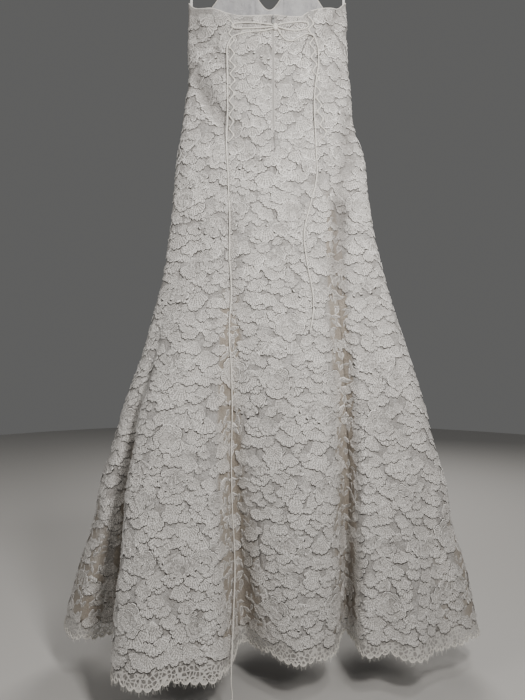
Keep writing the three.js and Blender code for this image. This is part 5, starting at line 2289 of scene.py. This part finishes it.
@dataclass
class Studio:
    """The camera at the photograph's angle, soft lights and a plain pale floor."""

    camera_x: float = -15.9
    camera_y: float = -1197.0
    camera_height: float = 621.6
    focal_pixels: float = 546.0
    frame_pixels: float = 700.0
    floor_height: float = -84.0
    floor_radius: float = 4000.0
    floor: Colour = (0.50, 0.49, 0.475, 1.0)
    speckle: Colour = (0.46, 0.45, 0.435, 1.0)
    sky: Colour = (0.80, 0.80, 0.79, 1.0)
    sky_strength: float = 0.15

    def camera(self) -> Piece:
        """Places the camera: level, and square to the gown's back.

        Returns:
            The camera.
        """
        data = bpy.data.cameras.new("camera")
        data.sensor_fit = "VERTICAL"
        data.sensor_height = 24.0
        data.lens = data.sensor_height * self.focal_pixels / self.frame_pixels
        camera = bpy.data.objects.new("camera", data)
        camera.location = to_row(np.array([self.camera_x, self.camera_y, self.camera_height]))
        camera.rotation_euler = (math.pi / 2, 0.0, 0.0)
        bpy.context.scene.collection.objects.link(camera)
        bpy.context.scene.camera = camera
        return camera

    def light(self, lamp: Lamp) -> None:
        """Adds a light, turned towards the gown's middle.

        Args:
            lamp: where it stands and how bright it is.
        """
        data = bpy.data.lights.new(lamp.name, "AREA")
        data.size = lamp.size
        data.energy = lamp.power
        data.color = LAMP_COLOUR
        light = bpy.data.objects.new(lamp.name, data)
        light.location = lamp.place
        towards = np.array([0.0, 0.0, LIT_HEIGHT]) - np.array(lamp.place)
        level = math.hypot(towards[0], towards[1])
        light.rotation_euler = (math.atan2(level, -towards[2]), 0.0, math.atan2(-towards[0], towards[1]))
        bpy.context.scene.collection.objects.link(light)

    def build(self) -> None:
        """Makes the floor, the pale surroundings and the lights."""
        radius = np.array([0.0, self.floor_radius])[:, None]
        turn = np.linspace(0.0, 2 * np.pi, 65)[None, :]
        disc = together(radius * np.cos(turn), radius * np.sin(turn), self.floor_height)
        graph = Graph("pale_floor")
        colour = graph.mix(graph.noise(60.0, 2.0) * 0.1, self.floor, self.speckle)
        mesh = bpy.data.meshes.new("floor")
        mesh.from_pydata(to_row(disc.reshape(-1, 3)).tolist(), [], grid_faces(2, 65)[:, ::-1].tolist())
        mesh.materials.append(graph.finish(Base_Color=colour, Roughness=0.8))
        floor = bpy.data.objects.new("floor", mesh)
        bpy.context.scene.collection.objects.link(floor)
        world = bpy.data.worlds.new("pale")
        world.use_nodes = True
        background = world.node_tree.nodes["Background"]
        background.inputs["Color"].default_value = self.sky
        background.inputs["Strength"].default_value = self.sky_strength
        bpy.context.scene.world = world
        for lamp in LAMPS:
            self.light(lamp)


def main() -> None:
    """Builds the gown, piece by piece."""
    logging.basicConfig(level=logging.INFO, format="%(message)s")
    studio = Studio()
    studio.camera()
    MATERIALS.update({finish: finish.value.build() for finish in Finish})
    Bow().build()
    gown = GownSurface()
    hem = HemEdge(gown)
    flowers = Lace(gown, hem).build()
    for index in range(len(PANEL_NAMES)):
        panel = Panel(gown, index)
        cloth = panel.build()
    HemLace(gown, hem, "hem_lace_back", 0, RIGHT_SIDE).build()
    HemLace(gown, hem, "hem_lace_front", RIGHT_SIDE, len(FOLDS)).build()
    TopPiping(gown).build()
    Cup(gown, "cup_right", 5 + 2 / 6, 6 + 5 / 15).build()
    Cup(gown, "cup_left", 6 + 10 / 15, 7 + 5 / 7).build()
    Lacing(gown, "lacing_left", LEFT_LACING).build()
    Lacing(gown, "lacing_right", RIGHT_LACING).build()
    ZipCover(gown).build()
    Hanger(gown).build()
    studio.build()


if __name__ == "__main__":
    main()
